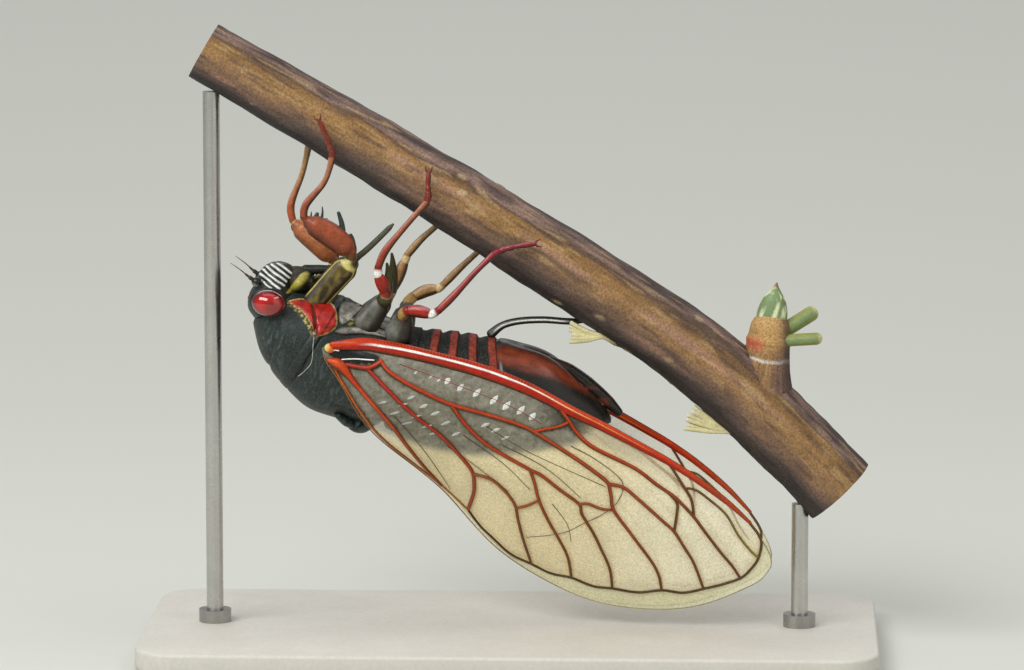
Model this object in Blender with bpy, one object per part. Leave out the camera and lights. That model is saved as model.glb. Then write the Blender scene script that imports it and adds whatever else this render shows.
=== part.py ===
"""Periodical cicada laying eggs, a life-size still model hanging under its twig on a plain stand.

Lengths are in millimetres until a mesh is finished, then in metres. The insect and its twig are
drawn in the insect's own frame: X towards the head, Y towards its left side, Z towards its back,
with the origin inside the thorax. An empty turns that frame upside down and lifts it over the base.
"""

import bisect
import math

import bmesh
import bpy
from mathutils import Matrix, Vector
from mathutils.geometry import delaunay_2d_cdt

MM = 0.001

# Driving sizes of the stand and of the pose
BASE_LENGTH = 52.0
BASE_DEPTH = 24.0
BASE_THICK = 1.5
BASE_CORNER = 3.0
ROD_RADIUS = 0.6
ROD_INSET_HIGH = 0.5
ROD_INSET_LOW = 2.8
BODY_SLOPE = 16.0
THORAX_X = -11.49
THORAX_Z = 20.43

# Clearance that touching pieces keep, and the half of it that each of two neighbours gives up
GAP = 0.3
HALF_GAP = GAP / 2

# The body's sections from the neck to the tail: back (x, z), belly (x, z), half width
BODY_SECTIONS = (
    ((7.50, -1.10), (5.20, -3.80), 3.60),
    ((6.40, 0.95), (4.20, -4.00), 3.95),
    ((5.12, 2.23), (2.95, -4.15), 4.15),
    ((3.75, 3.18), (1.55, -4.20), 4.15),
    ((2.00, 4.05), (0.40, -4.05), 4.10),
    ((0.00, 4.22), (-0.90, -3.85), 4.05),
    ((-1.80, 4.15), (-2.10, -3.70), 3.90),
    ((-3.40, 3.90), (-3.40, -3.50), 3.75),
    ((-6.00, 4.10), (-5.30, -3.80), 3.85),
    ((-9.20, 3.90), (-7.10, -4.15), 3.80),
    ((-12.20, 3.00), (-9.00, -4.35), 3.50),
    ((-14.30, 2.15), (-11.00, -4.65), 3.10),
    ((-16.00, 1.35), (-13.60, -4.45), 2.60),
    ((-17.60, 0.50), (-16.20, -3.65), 1.95),
    ((-18.80, -0.50), (-18.20, -2.80), 1.30),
    ((-19.60, -1.40), (-19.40, -2.10), 0.45),
)
# Where each part of the body starts and ends, counted in those sections
NECK, PRONOTUM_END, WAIST, PYGOFER_START, TAIL = 0.0, 3.0, 7.0, 10.3, 15.0
SEGMENTS = 6
SEGMENT_STEP = 0.10

# Head
HEAD_CENTRE = Vector((6.35, 0.0, -2.45))
HEAD_PITCH = -40.5
# Distance in front of the neck, half width, height above and below the axis
HEAD_SECTIONS = (
    (0.00, 3.55, 1.65, 1.75),
    (0.60, 3.60, 1.65, 1.80),
    (1.10, 3.05, 1.40, 1.80),
    (1.50, 2.20, 1.00, 1.60),
    (1.75, 1.20, 0.50, 1.20),
)
EYE_CENTRE = Vector((6.45, 4.0, -2.96))
EYE_RADII = (1.15, 0.95, 0.92)
EYE_PITCH = 9.0
FACE_CENTRE = Vector((6.50, 0.0, -4.15))
FACE_RADII = (1.46, 1.70, 1.22)
FACE_PITCH = 25.5
FACE_RIDGES = 8
FACE_RIDGE_HEIGHT = 0.035

# Wings
WING_THICK = 0.5
FORE_WING_RIDGE = 0.16
HIND_WING_RIDGE = 0.10
VEIN_PITCH = 1.35
HIND_WING_INSET = 0.94

# Twig: centre line (x, z) in the insect's frame and radius, from its high end to its low end
TWIG_LINE = (
    ((15.89, -18.32), 2.25),
    ((6.60, -16.01), 2.40),
    ((-1.93, -13.78), 2.50),
    ((-10.35, -11.37), 2.65),
    ((-20.84, -8.22), 2.75),
    ((-25.65, -6.33), 2.85),
    ((-32.30, -2.92), 2.85),
    ((-35.93, -0.79), 2.85),
)
TWIG_STEPS = 3
TWIG_SIDES = 20


def hermite(values, t):
    """A smooth curve through values, one for each whole number t."""
    last = len(values) - 1
    i = min(max(int(math.floor(t)), 0), last - 1)
    f = t - i
    before, after = values[max(i - 1, 0)], values[min(i + 2, last)]
    p, q = values[i], values[i + 1]
    m, n = (q - before) * 0.5, (after - p) * 0.5
    return (
        p * (2 * f**3 - 3 * f**2 + 1)
        + m * (f**3 - 2 * f**2 + f)
        + q * (3 * f**2 - 2 * f**3)
        + n * (f**3 - f**2)
    )


def through(points, steps):
    """Points on a smooth curve through the given ones, steps to each stretch."""
    values = [Vector(p) for p in points]
    count = steps * (len(values) - 1)
    return [hermite(values, i / steps) for i in range(count + 1)]


def knots(table, x):
    """A value read from a table of (x, value) rows in rising x, straight between the rows."""
    xs = [row[0] for row in table]
    i = min(max(bisect.bisect_right(xs, x) - 1, 0), len(table) - 2)
    (x0, v0), (x1, v1) = table[i], table[i + 1]
    f = min(max((x - x0) / (x1 - x0), 0.0), 1.0)
    return v0 + (v1 - v0) * f


def circle(count):
    """Cosine and sine of each of count even turns."""
    turns = [2 * math.pi * i / count for i in range(count)]
    return [(math.cos(turn), math.sin(turn)) for turn in turns]


def tilted(pitch):
    """The directions ahead and up for something that X turns towards, pitch degrees above level."""
    c, s = math.cos(math.radians(pitch)), math.sin(math.radians(pitch))
    return Vector((c, 0, s)), Vector((-s, 0, c))


def loft(rings):
    """A closed mesh through rings of equal count, with a fan over each end."""
    count = len(rings[0])
    verts = [p for ring in rings for p in ring]
    faces = []
    for i in range(len(rings) - 1):
        for j in range(count):
            a, b = i * count + j, i * count + (j + 1) % count
            faces.append((a, b, b + count, a + count))
    for i, ring in ((0, rings[0]), (len(rings) - 1, rings[-1])):
        verts.append(sum(ring, Vector()) / count)
        for j in range(count):
            faces.append((i * count + j, i * count + (j + 1) % count, len(verts) - 1))
    return verts, faces


def tube(path, radii, sides=8, across=None):
    """A closed tube along path. radii holds one radius, or (wide, high), for each point."""
    points = [Vector(p) for p in path]
    side = Vector(across) if across else None
    rings = []
    for i, p in enumerate(points):
        ahead = points[min(i + 1, len(points) - 1)] - points[max(i - 1, 0)]
        ahead.normalize()
        if side is None:
            side = ahead.orthogonal()
        side = (side - ahead * side.dot(ahead)).normalized()
        up = ahead.cross(side)
        wide, high = radii[i] if isinstance(radii[i], tuple) else (radii[i], radii[i])
        rings.append([p + side * (wide * c) + up * (high * s) for c, s in circle(sides)])
    return loft(rings)


def ellipsoid(centre, radii, pitch=0.0, sides=16, rows=10, ridges=0, height=0.0):
    """A closed ellipsoid whose X axis is pitched up, with ridges round it of the height given."""
    ahead, up = tilted(pitch)
    rings = []
    for i in range(1, rows):
        polar = math.pi * i / rows
        swell = 1 + height * math.cos(2 * math.pi * ridges * i / rows)
        ring = []
        for c, s in circle(sides):
            y = radii[1] * math.sin(polar) * c * swell
            z = radii[2] * math.sin(polar) * s * swell
            ring.append(Vector(centre) + ahead * (radii[0] * math.cos(polar)) + up * z + Vector((0, y, 0)))
        rings.append(ring)
    verts, faces = loft(rings)
    verts[-2] = Vector(centre) + ahead * radii[0]
    verts[-1] = Vector(centre) - ahead * radii[0]
    return verts, faces


def mesh_from(name, verts, faces):
    """A mesh of triangles that all point out."""
    mesh = bpy.data.meshes.new(name)
    mesh.from_pydata([tuple(v) for v in verts], [], faces)
    bm = bmesh.new()
    bm.from_mesh(mesh)
    bmesh.ops.triangulate(bm, faces=bm.faces[:])
    bmesh.ops.recalc_face_normals(bm, faces=bm.faces[:])
    if bm.calc_volume(signed=True) < 0:
        bmesh.ops.reverse_faces(bm, faces=bm.faces[:])
    bm.to_mesh(mesh)
    bm.free()
    return mesh


def islands(bm):
    """The mesh's separate surfaces, as lists of faces."""
    left = set(bm.faces)
    found = []
    while left:
        todo = [left.pop()]
        group = list(todo)
        while todo:
            for edge in todo.pop().edges:
                for face in edge.link_faces:
                    if face in left:
                        left.discard(face)
                        todo.append(face)
                        group.append(face)
        found.append(group)
    return found


def volume(faces):
    """The volume that a closed group of triangles holds."""
    total = 0.0
    for face in faces:
        a, b, c = (v.co for v in face.verts)
        total += a.dot(b.cross(c)) / 6
    return total


def keep_largest(mesh):
    """Drops every surface but the one that holds the most."""
    bm = bmesh.new()
    bm.from_mesh(mesh)
    bmesh.ops.triangulate(bm, faces=bm.faces[:])
    groups = islands(bm)
    best = max(groups, key=lambda group: abs(volume(group)))
    loose = [face for group in groups if group is not best for face in group]
    bmesh.ops.delete(bm, geom=loose, context="FACES")
    bm.to_mesh(mesh)
    bm.free()


def helper(piece):
    """A throwaway object that holds one closed piece."""
    obj = bpy.data.objects.new("helper", mesh_from("helper", *piece))
    bpy.context.scene.collection.objects.link(obj)
    return obj


def boolean(obj, operation, others):
    """Applies one Boolean of obj with a collection of closed pieces, and removes the pieces."""
    group = bpy.data.collections.new("cutters")
    bpy.context.scene.collection.children.link(group)
    for other in others:
        bpy.context.scene.collection.objects.unlink(other)
        group.objects.link(other)
    modifier = obj.modifiers.new("join", "BOOLEAN")
    modifier.operation = operation
    modifier.operand_type = "COLLECTION"
    modifier.collection = group
    graph = bpy.context.evaluated_depsgraph_get()
    result = bpy.data.meshes.new_from_object(obj.evaluated_get(graph))
    obj.modifiers.clear()
    obj.data = result
    for other in others:
        bpy.data.objects.remove(other)
    bpy.data.collections.remove(group)


def fused(pieces, cuts=()):
    """One mesh, in millimetres: the pieces joined, then the cuts taken away."""
    obj = helper(pieces[0])
    if len(pieces) > 1:
        boolean(obj, "UNION", [helper(piece) for piece in pieces[1:]])
    if cuts:
        boolean(obj, "DIFFERENCE", [helper(piece) for piece in cuts])
    mesh = obj.data.copy()
    bpy.data.objects.remove(obj)
    if len(pieces) > 1 or cuts:
        keep_largest(mesh)
    return mesh


def material(name, colour, roughness, metallic=0.0):
    made = bpy.data.materials.new(name)
    made.use_nodes = True
    shader = made.node_tree.nodes["Principled BSDF"]
    shader.inputs["Base Color"].default_value = (*colour, 1.0)
    shader.inputs["Roughness"].default_value = roughness
    shader.inputs["Metallic"].default_value = metallic
    return made


def node(name, mesh, finish, parent=None):
    """The finished object: its mesh in metres, with its finish, under its parent."""
    mesh.name = name
    mesh.transform(Matrix.Scale(MM, 4))
    mesh.materials.clear()
    mesh.materials.append(finish)
    mesh.shade_smooth()
    mesh.set_sharp_from_angle(angle=math.radians(40))
    obj = bpy.data.objects.new(name, mesh)
    bpy.context.scene.collection.objects.link(obj)
    obj.parent = parent
    return obj


def mirrored(points, side):
    """Points drawn for the left side, moved to the side given: 1 for left and -1 for right."""
    return [Vector((p[0], p[1] * side, p[2])) for p in points]


# Body


def body_ring(t, grow=0.0, shift=0.0, sides=24):
    """The body's outline at section t, grown outwards, and shifted towards the tail."""
    back = hermite([Vector((b[0], 0, b[1])) for b, _, _ in BODY_SECTIONS], t)
    belly = hermite([Vector((v[0], 0, v[1])) for _, v, _ in BODY_SECTIONS], t)
    half = hermite([w for _, _, w in BODY_SECTIONS], t) + grow
    up = (back - belly).normalized()
    tail = Vector((-up.z, 0, up.x))
    centre = (back + belly) / 2 + tail * shift
    high = (back - belly).length / 2 + grow
    return [centre + Vector((0, half * c, 0)) + up * (high * s) for c, s in circle(sides)]


def body_part(start, end, steps, grow=0.0, open_start=0.0, open_end=0.0):
    """The body between two sections, set back from its neighbours by the shifts at its ends."""
    rings = []
    for i in range(steps + 1):
        t = start + (end - start) * i / steps
        shift = open_start if i == 0 else (-open_end if i == steps else 0.0)
        rings.append(body_ring(t, grow, shift))
    return loft(rings)


def segmented_part(start, end, count):
    """A run of body segments, each wider at its rear rim than the front of the next."""
    rings = []
    for i in range(count):
        first = start + (end - start) * i / count
        last = start + (end - start) * (i + 1) / count
        shift = HALF_GAP if i == 0 else 0.0
        rings.append(body_ring(first + 0.02 * bool(i), -SEGMENT_STEP, shift))
        rings.append(body_ring((first + last) / 2, 0.0))
        shift = -HALF_GAP if i == count - 1 else 0.0
        rings.append(body_ring(last - 0.04, 0.03, shift))
    return loft(rings)


def scutellar_cross():
    """The raised X at the rear of the back, just in front of the waist."""
    pieces = [ellipsoid((-1.85, 0, 4.30), (0.95, 0.95, 0.62), 4.0, 12, 8)]
    for side in (1, -1):
        for x, z in ((-0.30, 3.75), (-2.75, 3.45)):
            pieces.append(tube(((-1.85, 0, 4.25), (x, 1.55 * side, z)), (0.55, 0.35), 8))
    return pieces


def pleural_lobes(side):
    """The two swollen red plates on the side of the pronotum, behind the eye."""
    front = ellipsoid((4.30, 3.10 * side, -2.95), (1.15, 0.80, 0.62), 15.0, 12, 8)
    rear = ellipsoid((2.85, 3.20 * side, -2.85), (0.60, 0.75, 1.00), 0.0, 12, 8)
    return [front, rear]


def tail_groove():
    """The cut along the belly of the pygofer that parts its two lobes."""
    path = ((-10.2, 0, -5.1), (-12.5, 0, -5.0), (-15.0, 0, -4.5), (-17.5, 0, -3.6), (-20.5, 0, -2.2))
    deep = (0.55, 0.75, 0.95, 1.25, 1.7)
    return tube(path, [(0.2, high) for high in deep], 8, (0, 1, 0))


def make_body(pose, finishes):
    pronotum = body_part(NECK, PRONOTUM_END, 6, 0.0, HALF_GAP, HALF_GAP)
    lobes = pleural_lobes(1) + pleural_lobes(-1)
    mesh = fused([pronotum] + lobes, [eye(1, GAP), eye(-1, GAP)])
    node("pronotum", mesh, finishes["shell"], pose)
    thorax = body_part(PRONOTUM_END, WAIST, 8, 0.0, HALF_GAP, HALF_GAP)
    node("thorax", fused([thorax] + scutellar_cross()), finishes["shell"], pose)
    node("abdomen", fused([segmented_part(WAIST, PYGOFER_START, SEGMENTS)]), finishes["belly"], pose)
    pygofer = body_part(PYGOFER_START, TAIL, 10, 0.0, HALF_GAP)
    node("pygofer", fused([pygofer], [tail_groove()]), finishes["tail"], pose)
    path = through(
        ((-9.30, 0, -4.95), (-9.72, 0, -5.45), (-10.81, 0, -6.10), (-12.40, 0, -6.65), (-13.60, 0, -6.85)),
        2,
    )
    widths = [0.27] * (len(path) - 1) + [0.20]
    node("ovipositor", fused([tube(path, widths, 8)]), finishes["shell"], pose)


# Head


def eye(side, grow=0.0):
    """An eye, or with grow the hollow that it sits in."""
    centre = Vector((EYE_CENTRE.x, EYE_CENTRE.y * side, EYE_CENTRE.z))
    return ellipsoid(centre, [r + grow for r in EYE_RADII], EYE_PITCH)


def head_mesh():
    """The head's capsule, wide between the eyes, with the bulging face and the cheeks under it."""
    ahead, up = tilted(HEAD_PITCH)
    rings = []
    for distance, half, above, below in HEAD_SECTIONS:
        middle = HEAD_CENTRE + ahead * distance
        ring = []
        for c, s in circle(20):
            ring.append(middle + Vector((0, half * c, 0)) + up * ((above if s > 0 else below) * s))
        rings.append(ring)
    pieces = [loft(rings)]
    rows = 2 * FACE_RIDGES
    pieces.append(
        ellipsoid(FACE_CENTRE, FACE_RADII, FACE_PITCH, 16, rows, FACE_RIDGES, FACE_RIDGE_HEIGHT)
    )
    pieces.append(ellipsoid((5.25, 0, -4.80), (1.05, 0.85, 0.62), 12.0, 12, 8))
    for side in (1, -1):
        pieces.append(ellipsoid((4.95, 1.40 * side, -4.45), (0.95, 0.45, 0.42), 56.5, 10, 8))
        pieces.append(ellipsoid((7.85, 1.55 * side, -3.75), (0.42, 0.38, 0.38), 0.0, 8, 6))
        pieces.append(ellipsoid((7.55, 0.65 * side, -1.75), (0.26, 0.26, 0.26), 0.0, 8, 6))
    pieces.append(ellipsoid((7.95, 0.0, -2.35), (0.26, 0.26, 0.26), 0.0, 8, 6))
    neck = body_part(NECK, PRONOTUM_END, 6, GAP, -HALF_GAP)
    return fused(pieces, [eye(1, GAP), eye(-1, GAP), neck])


def make_head(pose, finishes):
    node("head", head_mesh(), finishes["shell"], pose)
    for side, name in ((1, "left"), (-1, "right")):
        node("eye_" + name, fused([eye(side)]), finishes["eye"], pose)
        path = mirrored(((8.50, 1.68, -4.02), (9.10, 1.78, -4.32), (9.88, 1.85, -4.57)), side)
        node("antenna_" + name, fused([tube(path, (0.26, 0.16, 0.08), 6)]), finishes["shell"], pose)
    beak = through(((4.30, 0, -5.72), (2.60, 0, -6.35), (1.22, 0, -7.60), (-0.26, 0, -10.15)), 3)
    widths = [0.30 - 0.012 * i for i in range(len(beak))]
    node("beak", fused([tube(beak, widths, 8)]), finishes["leg_dark"], pose)


# Wings. Where the fore wing's sheet stands off the middle, for each x: at its front edge, at its
# rear edge, how far it bulges between them, and how far its front edge curls in round the body.
# Then the height of those two edges.

WING_FRONT_OUT = ((-33, 1.2), (-30, 2.3), (-26, 3.4), (-20, 4.3), (-14, 4.8), (-9, 4.9),
                  (-6, 4.9), (-3, 4.9), (-1.5, 4.95), (1.4, 4.8), (2.2, 4.75))
WING_REAR_OUT = ((-33, 0.7), (-12, 0.6), (-9, 0.9), (-6, 2.0), (-3, 3.6), (-1.5, 4.2),
                 (1.4, 4.75), (2.2, 4.75))
WING_BULGE = ((-33, 0.1), (-30, 0.3), (-26, 0.6), (-20, 1.1), (-14, 1.8), (-9, 2.1),
              (-6, 2.1), (-3, 1.35), (-1.5, 0.65), (1.4, 0.0), (2.2, 0.0))
WING_CURL = ((-33, 0.0), (-26, 0.1), (-20, 0.45), (-14, 0.85), (-9, 1.0), (-3, 1.0), (-1.5, 0.65),
             (1.4, 0.0), (2.2, 0.0))
WING_CURL_SHARE = 0.3
WING_FRONT_HIGH = ((-33, 3.0), (-29, 1.2), (-24, -0.35), (-19, -1.6), (-15, -2.4), (-12, -2.75),
                   (-9, -2.9), (-6, -2.9), (-1.8, -2.7), (1.4, -2.0), (2.2, -1.4))
WING_REAR_HIGH = ((-33, 9.0), (-28.3, 10.5), (-22, 11.7), (-17.3, 11.1), (-14, 10.0), (-11.5, 8.5),
                  (-8.8, 6.9), (-6.2, 5.6), (-3, 4.2), (-1.5, 3.0), (0, 1.5), (2.2, -0.2))

FORE_WING_FRONT = ((2.0, -1.3), (1.5, -1.9), (0.0, -2.4), (-3.9, -2.9), (-8.4, -3.1), (-13.0, -2.6),
                   (-19.0, -1.5), (-24.0, 0.0), (-29.0, 1.75), (-31.8, 3.6), (-32.9, 5.0))
FORE_WING_REAR = ((-32.7, 6.1), (-31.7, 7.4), (-28.3, 10.0), (-24.1, 11.4), (-19.7, 11.6),
                  (-14.0, 10.1), (-8.8, 6.9), (-4.9, 4.9), (-2.2, 3.2), (0.1, 0.9), (1.4, -0.2))
HIND_WING_FRONT = ((-2.4, -1.0), (-5.0, -1.3), (-10.0, -1.2), (-16.0, -0.1), (-19.8, 1.5), (-21.1, 3.2))
HIND_WING_REAR = ((-20.4, 5.0), (-17.8, 7.4), (-15.5, 8.3), (-12.6, 7.8), (-9.0, 5.4), (-5.0, 2.6),
                  (-2.8, 0.9), (-2.2, -0.2))

# Each vein: half its width at its start and at its end, then the points that it runs through
FORE_WING_VEINS = (
    (0.50, 0.22, ((1.1, -1.5), (-3.0, -2.35), (-8.5, -2.6), (-13.3, -2.2), (-18.6, -1.15), (-23.7, 0.05),
                  (-28.2, 1.75), (-30.6, 2.9))),
    (0.20, 0.16, ((-30.6, 2.9), (-31.8, 4.9), (-30.9, 7.0), (-28.6, 8.6), (-25.8, 9.5), (-22.5, 10.3),
                  (-19.4, 10.5), (-16.4, 10.3), (-13.2, 9.2), (-11.0, 7.7), (-8.6, 6.3))),
    (0.24, 0.18, ((1.0, -0.6), (-1.7, 1.1), (-4.5, 3.1), (-7.3, 5.3), (-8.6, 6.3))),
    (0.26, 0.18, ((0.6, -0.8), (-1.6, -0.8), (-3.9, 0.7), (-7.8, 2.6), (-10.6, 4.7), (-11.0, 7.7))),
    (0.18, 0.15, ((-10.6, 4.7), (-13.0, 5.2), (-14.6, 7.2), (-16.4, 10.3))),
    (0.22, 0.18, ((-1.6, -0.8), (-3.4, -1.0), (-7.8, 0.0), (-12.8, 0.1), (-16.1, 1.0), (-20.0, 2.6))),
    (0.18, 0.15, ((-20.0, 2.6), (-23.6, 3.9), (-26.4, 5.8), (-28.6, 8.6))),
    (0.18, 0.15, ((-20.0, 2.6), (-21.6, 5.2), (-24.0, 7.0), (-25.8, 9.5))),
    (0.20, 0.16, ((-7.8, 0.0), (-10.4, 1.9), (-14.4, 3.1), (-15.6, 5.2), (-18.0, 8.0), (-19.4, 10.5))),
    (0.18, 0.15, ((-14.4, 3.1), (-18.4, 4.7), (-20.9, 7.7), (-22.5, 10.3))),
    (0.18, 0.16, ((-13.9, 0.3), (-16.3, -0.8), (-19.8, 0.6), (-24.2, 2.1), (-27.5, 4.3), (-30.9, 7.0))),
    (0.18, 0.16, ((-23.7, 0.0), (-26.4, 1.6), (-29.9, 4.0), (-31.7, 5.4))),
    (0.16, 0.16, ((-18.4, 4.7), (-21.0, 4.3))),
    (0.16, 0.16, ((-14.2, 6.4), (-15.6, 5.2))),
    (0.16, 0.16, ((-24.2, 2.1), (-25.6, 4.9))),
    (0.16, 0.16, ((-24.9, 0.7), (-26.6, 3.5))),
)
HIND_WING_VEINS = (
    (0.20, 0.16, ((-2.9, -0.6), (-6.0, -0.6), (-12.0, 0.4), (-16.5, 1.8), (-20.0, 3.6))),
    (0.18, 0.15, ((-6.0, -0.6), (-9.0, 1.2), (-13.0, 3.6), (-17.8, 6.4))),
    (0.18, 0.15, ((-2.9, -0.6), (-5.4, 1.2), (-10.0, 4.6), (-13.8, 7.4))),
)


def wing_out(x, z):
    """How far the fore wing's middle surface stands off the insect's middle plane."""
    front, rear = knots(WING_FRONT_HIGH, x), knots(WING_REAR_HIGH, x)
    f = min(max((z - front) / (rear - front), 0.0), 1.0)
    straight = knots(WING_FRONT_OUT, x) * (1 - f) + knots(WING_REAR_OUT, x) * f
    curl = max(0.0, 1 - f / WING_CURL_SHARE)
    return straight + 4 * f * (1 - f) * knots(WING_BULGE, x) - knots(WING_CURL, x) * curl**2


def wing_normal(x, z):
    """The outward normal of the left wing's middle surface."""
    step = 0.4
    slope_x = (wing_out(x + step, z) - wing_out(x - step, z)) / (2 * step)
    slope_z = (wing_out(x, z + step) - wing_out(x, z - step)) / (2 * step)
    return Vector((-slope_x, 1.0, -slope_z)).normalized()


def spaced(points, step):
    """Points at even steps along a polyline, both of its ends among them."""
    lengths = [(q - p).length for p, q in zip(points, points[1:])]
    count = max(1, round(sum(lengths) / step))
    found, i, passed = [points[0]], 0, 0.0
    for n in range(1, count):
        reach = sum(lengths) * n / count
        while passed + lengths[i] < reach:
            passed += lengths[i]
            i += 1
        found.append(points[i].lerp(points[i + 1], (reach - passed) / lengths[i]))
    return found + [points[-1]]


def inside(point, outline):
    """Whether a flat point lies inside a closed outline."""
    hits = 0
    for p, q in zip(outline, outline[1:] + outline[:1]):
        if (p.y > point.y) != (q.y > point.y):
            if point.x < p.x + (point.y - p.y) * (q.x - p.x) / (q.y - p.y):
                hits += 1
    return hits % 2 == 1


def vein_rows(veins, pitch):
    """Each vein as its points, evenly spaced, with half its width at each."""
    rows = []
    for start, end, points in veins:
        line = spaced(through(points, 6), pitch)
        last = len(line) - 1
        rows.append([(p, start + (end - start) * i / last) for i, p in enumerate(line)])
    return rows


def ridge_at(point, rows):
    """How high the veins lift the wing's surface at a flat point, from 0 to 1."""
    best = 0.0
    for row in rows:
        for (p, wide), (q, _) in zip(row, row[1:]):
            along = q - p
            f = min(max((point - p).dot(along) / along.length_squared, 0.0), 1.0)
            best = max(best, 1 - (point - p - along * f).length / wide)
    return best


def wing_points(outline, rows, pitch):
    """The wing's flat points: its outline, the veins' lines, their banks, and a loose grid."""
    flat = list(outline)
    lines = []

    def clear(p, room):
        return all((p - q).length > room for q in flat)

    for row in rows:
        before = None
        for p, _ in row:
            near = min(range(len(flat)), key=lambda i: (flat[i] - p).length)
            if (flat[near] - p).length < 0.25:
                index = near
            else:
                flat.append(p)
                index = len(flat) - 1
            if before not in (None, index):
                lines.append((before, index))
            before = index
    for row in rows:
        for i, (p, wide) in enumerate(row):
            along = row[min(i + 1, len(row) - 1)][0] - row[max(i - 1, 0)][0]
            across = Vector((-along.y, along.x)).normalized() * wide
            for bank in (p + across, p - across):
                if inside(bank, outline) and ridge_at(bank, rows) < 0.1 and clear(bank, 0.13):
                    flat.append(bank)
    low = Vector((min(p.x for p in outline), min(p.y for p in outline)))
    high = Vector((max(p.x for p in outline), max(p.y for p in outline)))
    for i in range(int((high.x - low.x) / pitch) + 1):
        for j in range(int((high.y - low.y) / pitch) + 1):
            p = low + Vector((i + 0.5 * (j % 2), j)) * pitch
            if inside(p, outline) and clear(p, 0.5 * pitch):
                flat.append(p)
    return flat, lines


def wing_mesh(corners, veins, ridge, side, inset, pitch=2.4):
    """A wing as a thin closed sheet with raised veins, the same triangles on both of its faces."""
    edge = through(corners + corners[:1], 3)
    outline = spaced(edge, 0.6 * pitch)[:-1]
    rows = vein_rows(veins, VEIN_PITCH)
    flat, lines = wing_points(outline, rows, pitch)
    border = [(i, (i + 1) % len(outline)) for i in range(len(outline))]
    whole = [list(range(len(outline)))]
    points, _, faces, _, _, _ = delaunay_2d_cdt(flat, border + lines, whole, 1, 1e-4)
    outer, inner = [], []
    for p in points:
        middle = Vector((p.x, wing_out(p.x, p.y), p.y))
        normal = wing_normal(p.x, p.y)
        lift = ridge * ridge_at(p, rows)
        outer.append(middle + normal * (WING_THICK / 2 + lift - inset))
        inner.append(middle - normal * (WING_THICK / 2 + inset))
    count = len(points)
    solid = [tuple(face) for face in faces]
    solid += [tuple(count + i for i in reversed(face)) for face in faces]
    edges = {(a, b) for face in faces for a, b in zip(face, face[1:] + face[:1])}
    for a, b in sorted(edges):
        if (b, a) not in edges:
            solid.append((b, a, count + a))
            solid.append((b, count + a, count + b))
    return mirrored(outer + inner, side), solid


def make_wings(pose, finishes):
    for side, name in ((1, "left"), (-1, "right")):
        outline = FORE_WING_FRONT + FORE_WING_REAR
        fore = wing_mesh(outline, FORE_WING_VEINS, FORE_WING_RIDGE, side, 0.0)
        node("forewing_" + name, fused([fore]), finishes["wing"], pose)
        outline = HIND_WING_FRONT + HIND_WING_REAR
        hind = wing_mesh(outline, HIND_WING_VEINS, HIND_WING_RIDGE, side, HIND_WING_INSET)
        node("hindwing_" + name, fused([hind]), finishes["wing"], pose)


# Legs. Each leg's joints, from the body out: (x, distance from the middle, z). The near legs are
# the right ones.

LEGS = (
    ("fore_right", -1, ((3.90, 1.80, -3.30), (2.07, 1.90, -6.50), (1.70, 2.30, -7.10)),
     ((1.95, 2.50, -7.95), (3.55, 2.60, -8.68), (5.30, 2.65, -9.02)),
     ((5.80, 2.70, -9.30), (5.88, 2.75, -10.23), (5.07, 2.90, -12.15), (5.00, 2.95, -13.90)),
     ((5.10, 2.97, -14.30), (5.90, 3.02, -15.40), (6.57, 3.00, -16.19))),
    ("fore_left", 1, ((3.90, 1.80, -3.30), (2.90, 1.85, -5.20), (2.85, 2.10, -5.70)),
     ((3.15, 2.20, -6.30), (4.70, 2.40, -7.20), (6.30, 2.50, -7.80)),
     ((6.72, 2.55, -8.10), (7.14, 2.60, -9.20), (6.97, 2.75, -11.50), (7.07, 2.90, -13.40)),
     ((7.12, 2.95, -13.80), (7.40, 3.05, -15.10), (7.80, 3.00, -16.20))),
    ("mid_right", -1, ((-0.50, 2.20, -3.20), (-1.05, 2.40, -4.75), (-1.30, 2.65, -5.20)),
     ((-1.28, 3.05, -5.72), (-0.85, 3.30, -6.35), (-0.32, 3.45, -6.98)),
     ((-0.22, 3.50, -7.50), (-0.40, 3.50, -8.80), (-1.35, 3.40, -11.00), (-2.20, 3.25, -12.78)),
     ((-2.22, 3.20, -13.28), (-1.98, 3.15, -14.00), (-1.78, 3.05, -14.80))),
    ("mid_left", 1, ((-0.50, 2.20, -3.20), (-1.05, 2.30, -4.20), (-1.30, 2.50, -4.60)),
     ((-1.40, 2.80, -5.08), (-1.60, 3.00, -6.40), (-1.74, 3.10, -7.50)),
     ((-1.80, 3.15, -7.90), (-2.40, 3.20, -9.20), (-3.28, 3.25, -10.60), (-3.90, 3.25, -11.90)),
     ((-4.00, 3.25, -12.30), (-4.05, 3.20, -13.10), (-3.90, 3.10, -13.90))),
    ("hind_right", -1, ((-2.80, 2.40, -3.10), (-2.85, 2.55, -4.25), (-2.75, 2.80, -4.60)),
     ((-2.95, 3.40, -5.05), (-3.80, 3.70, -5.32), (-4.72, 3.85, -5.38)),
     ((-5.15, 3.95, -5.85), (-5.90, 3.85, -7.20), (-6.90, 3.70, -9.20), (-7.70, 3.50, -10.60)),
     ((-8.00, 3.42, -10.95), (-9.10, 3.30, -11.60), (-10.28, 3.20, -12.11))),
    ("hind_left", 1, ((-2.80, 2.40, -3.10), (-2.80, 2.45, -4.15), (-2.65, 2.65, -4.45)),
     ((-2.90, 3.15, -4.98), (-3.70, 3.40, -5.70), (-4.58, 3.50, -6.15)),
     ((-4.87, 3.50, -6.55), (-5.60, 3.45, -7.90), (-6.50, 3.40, -9.40), (-7.30, 3.40, -10.70)),
     ((-7.55, 3.40, -11.05), (-8.50, 3.35, -11.60), (-9.50, 3.25, -12.10))),
)
LEG_PARTS = ("coxa", "femur", "tibia", "tarsus")
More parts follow.
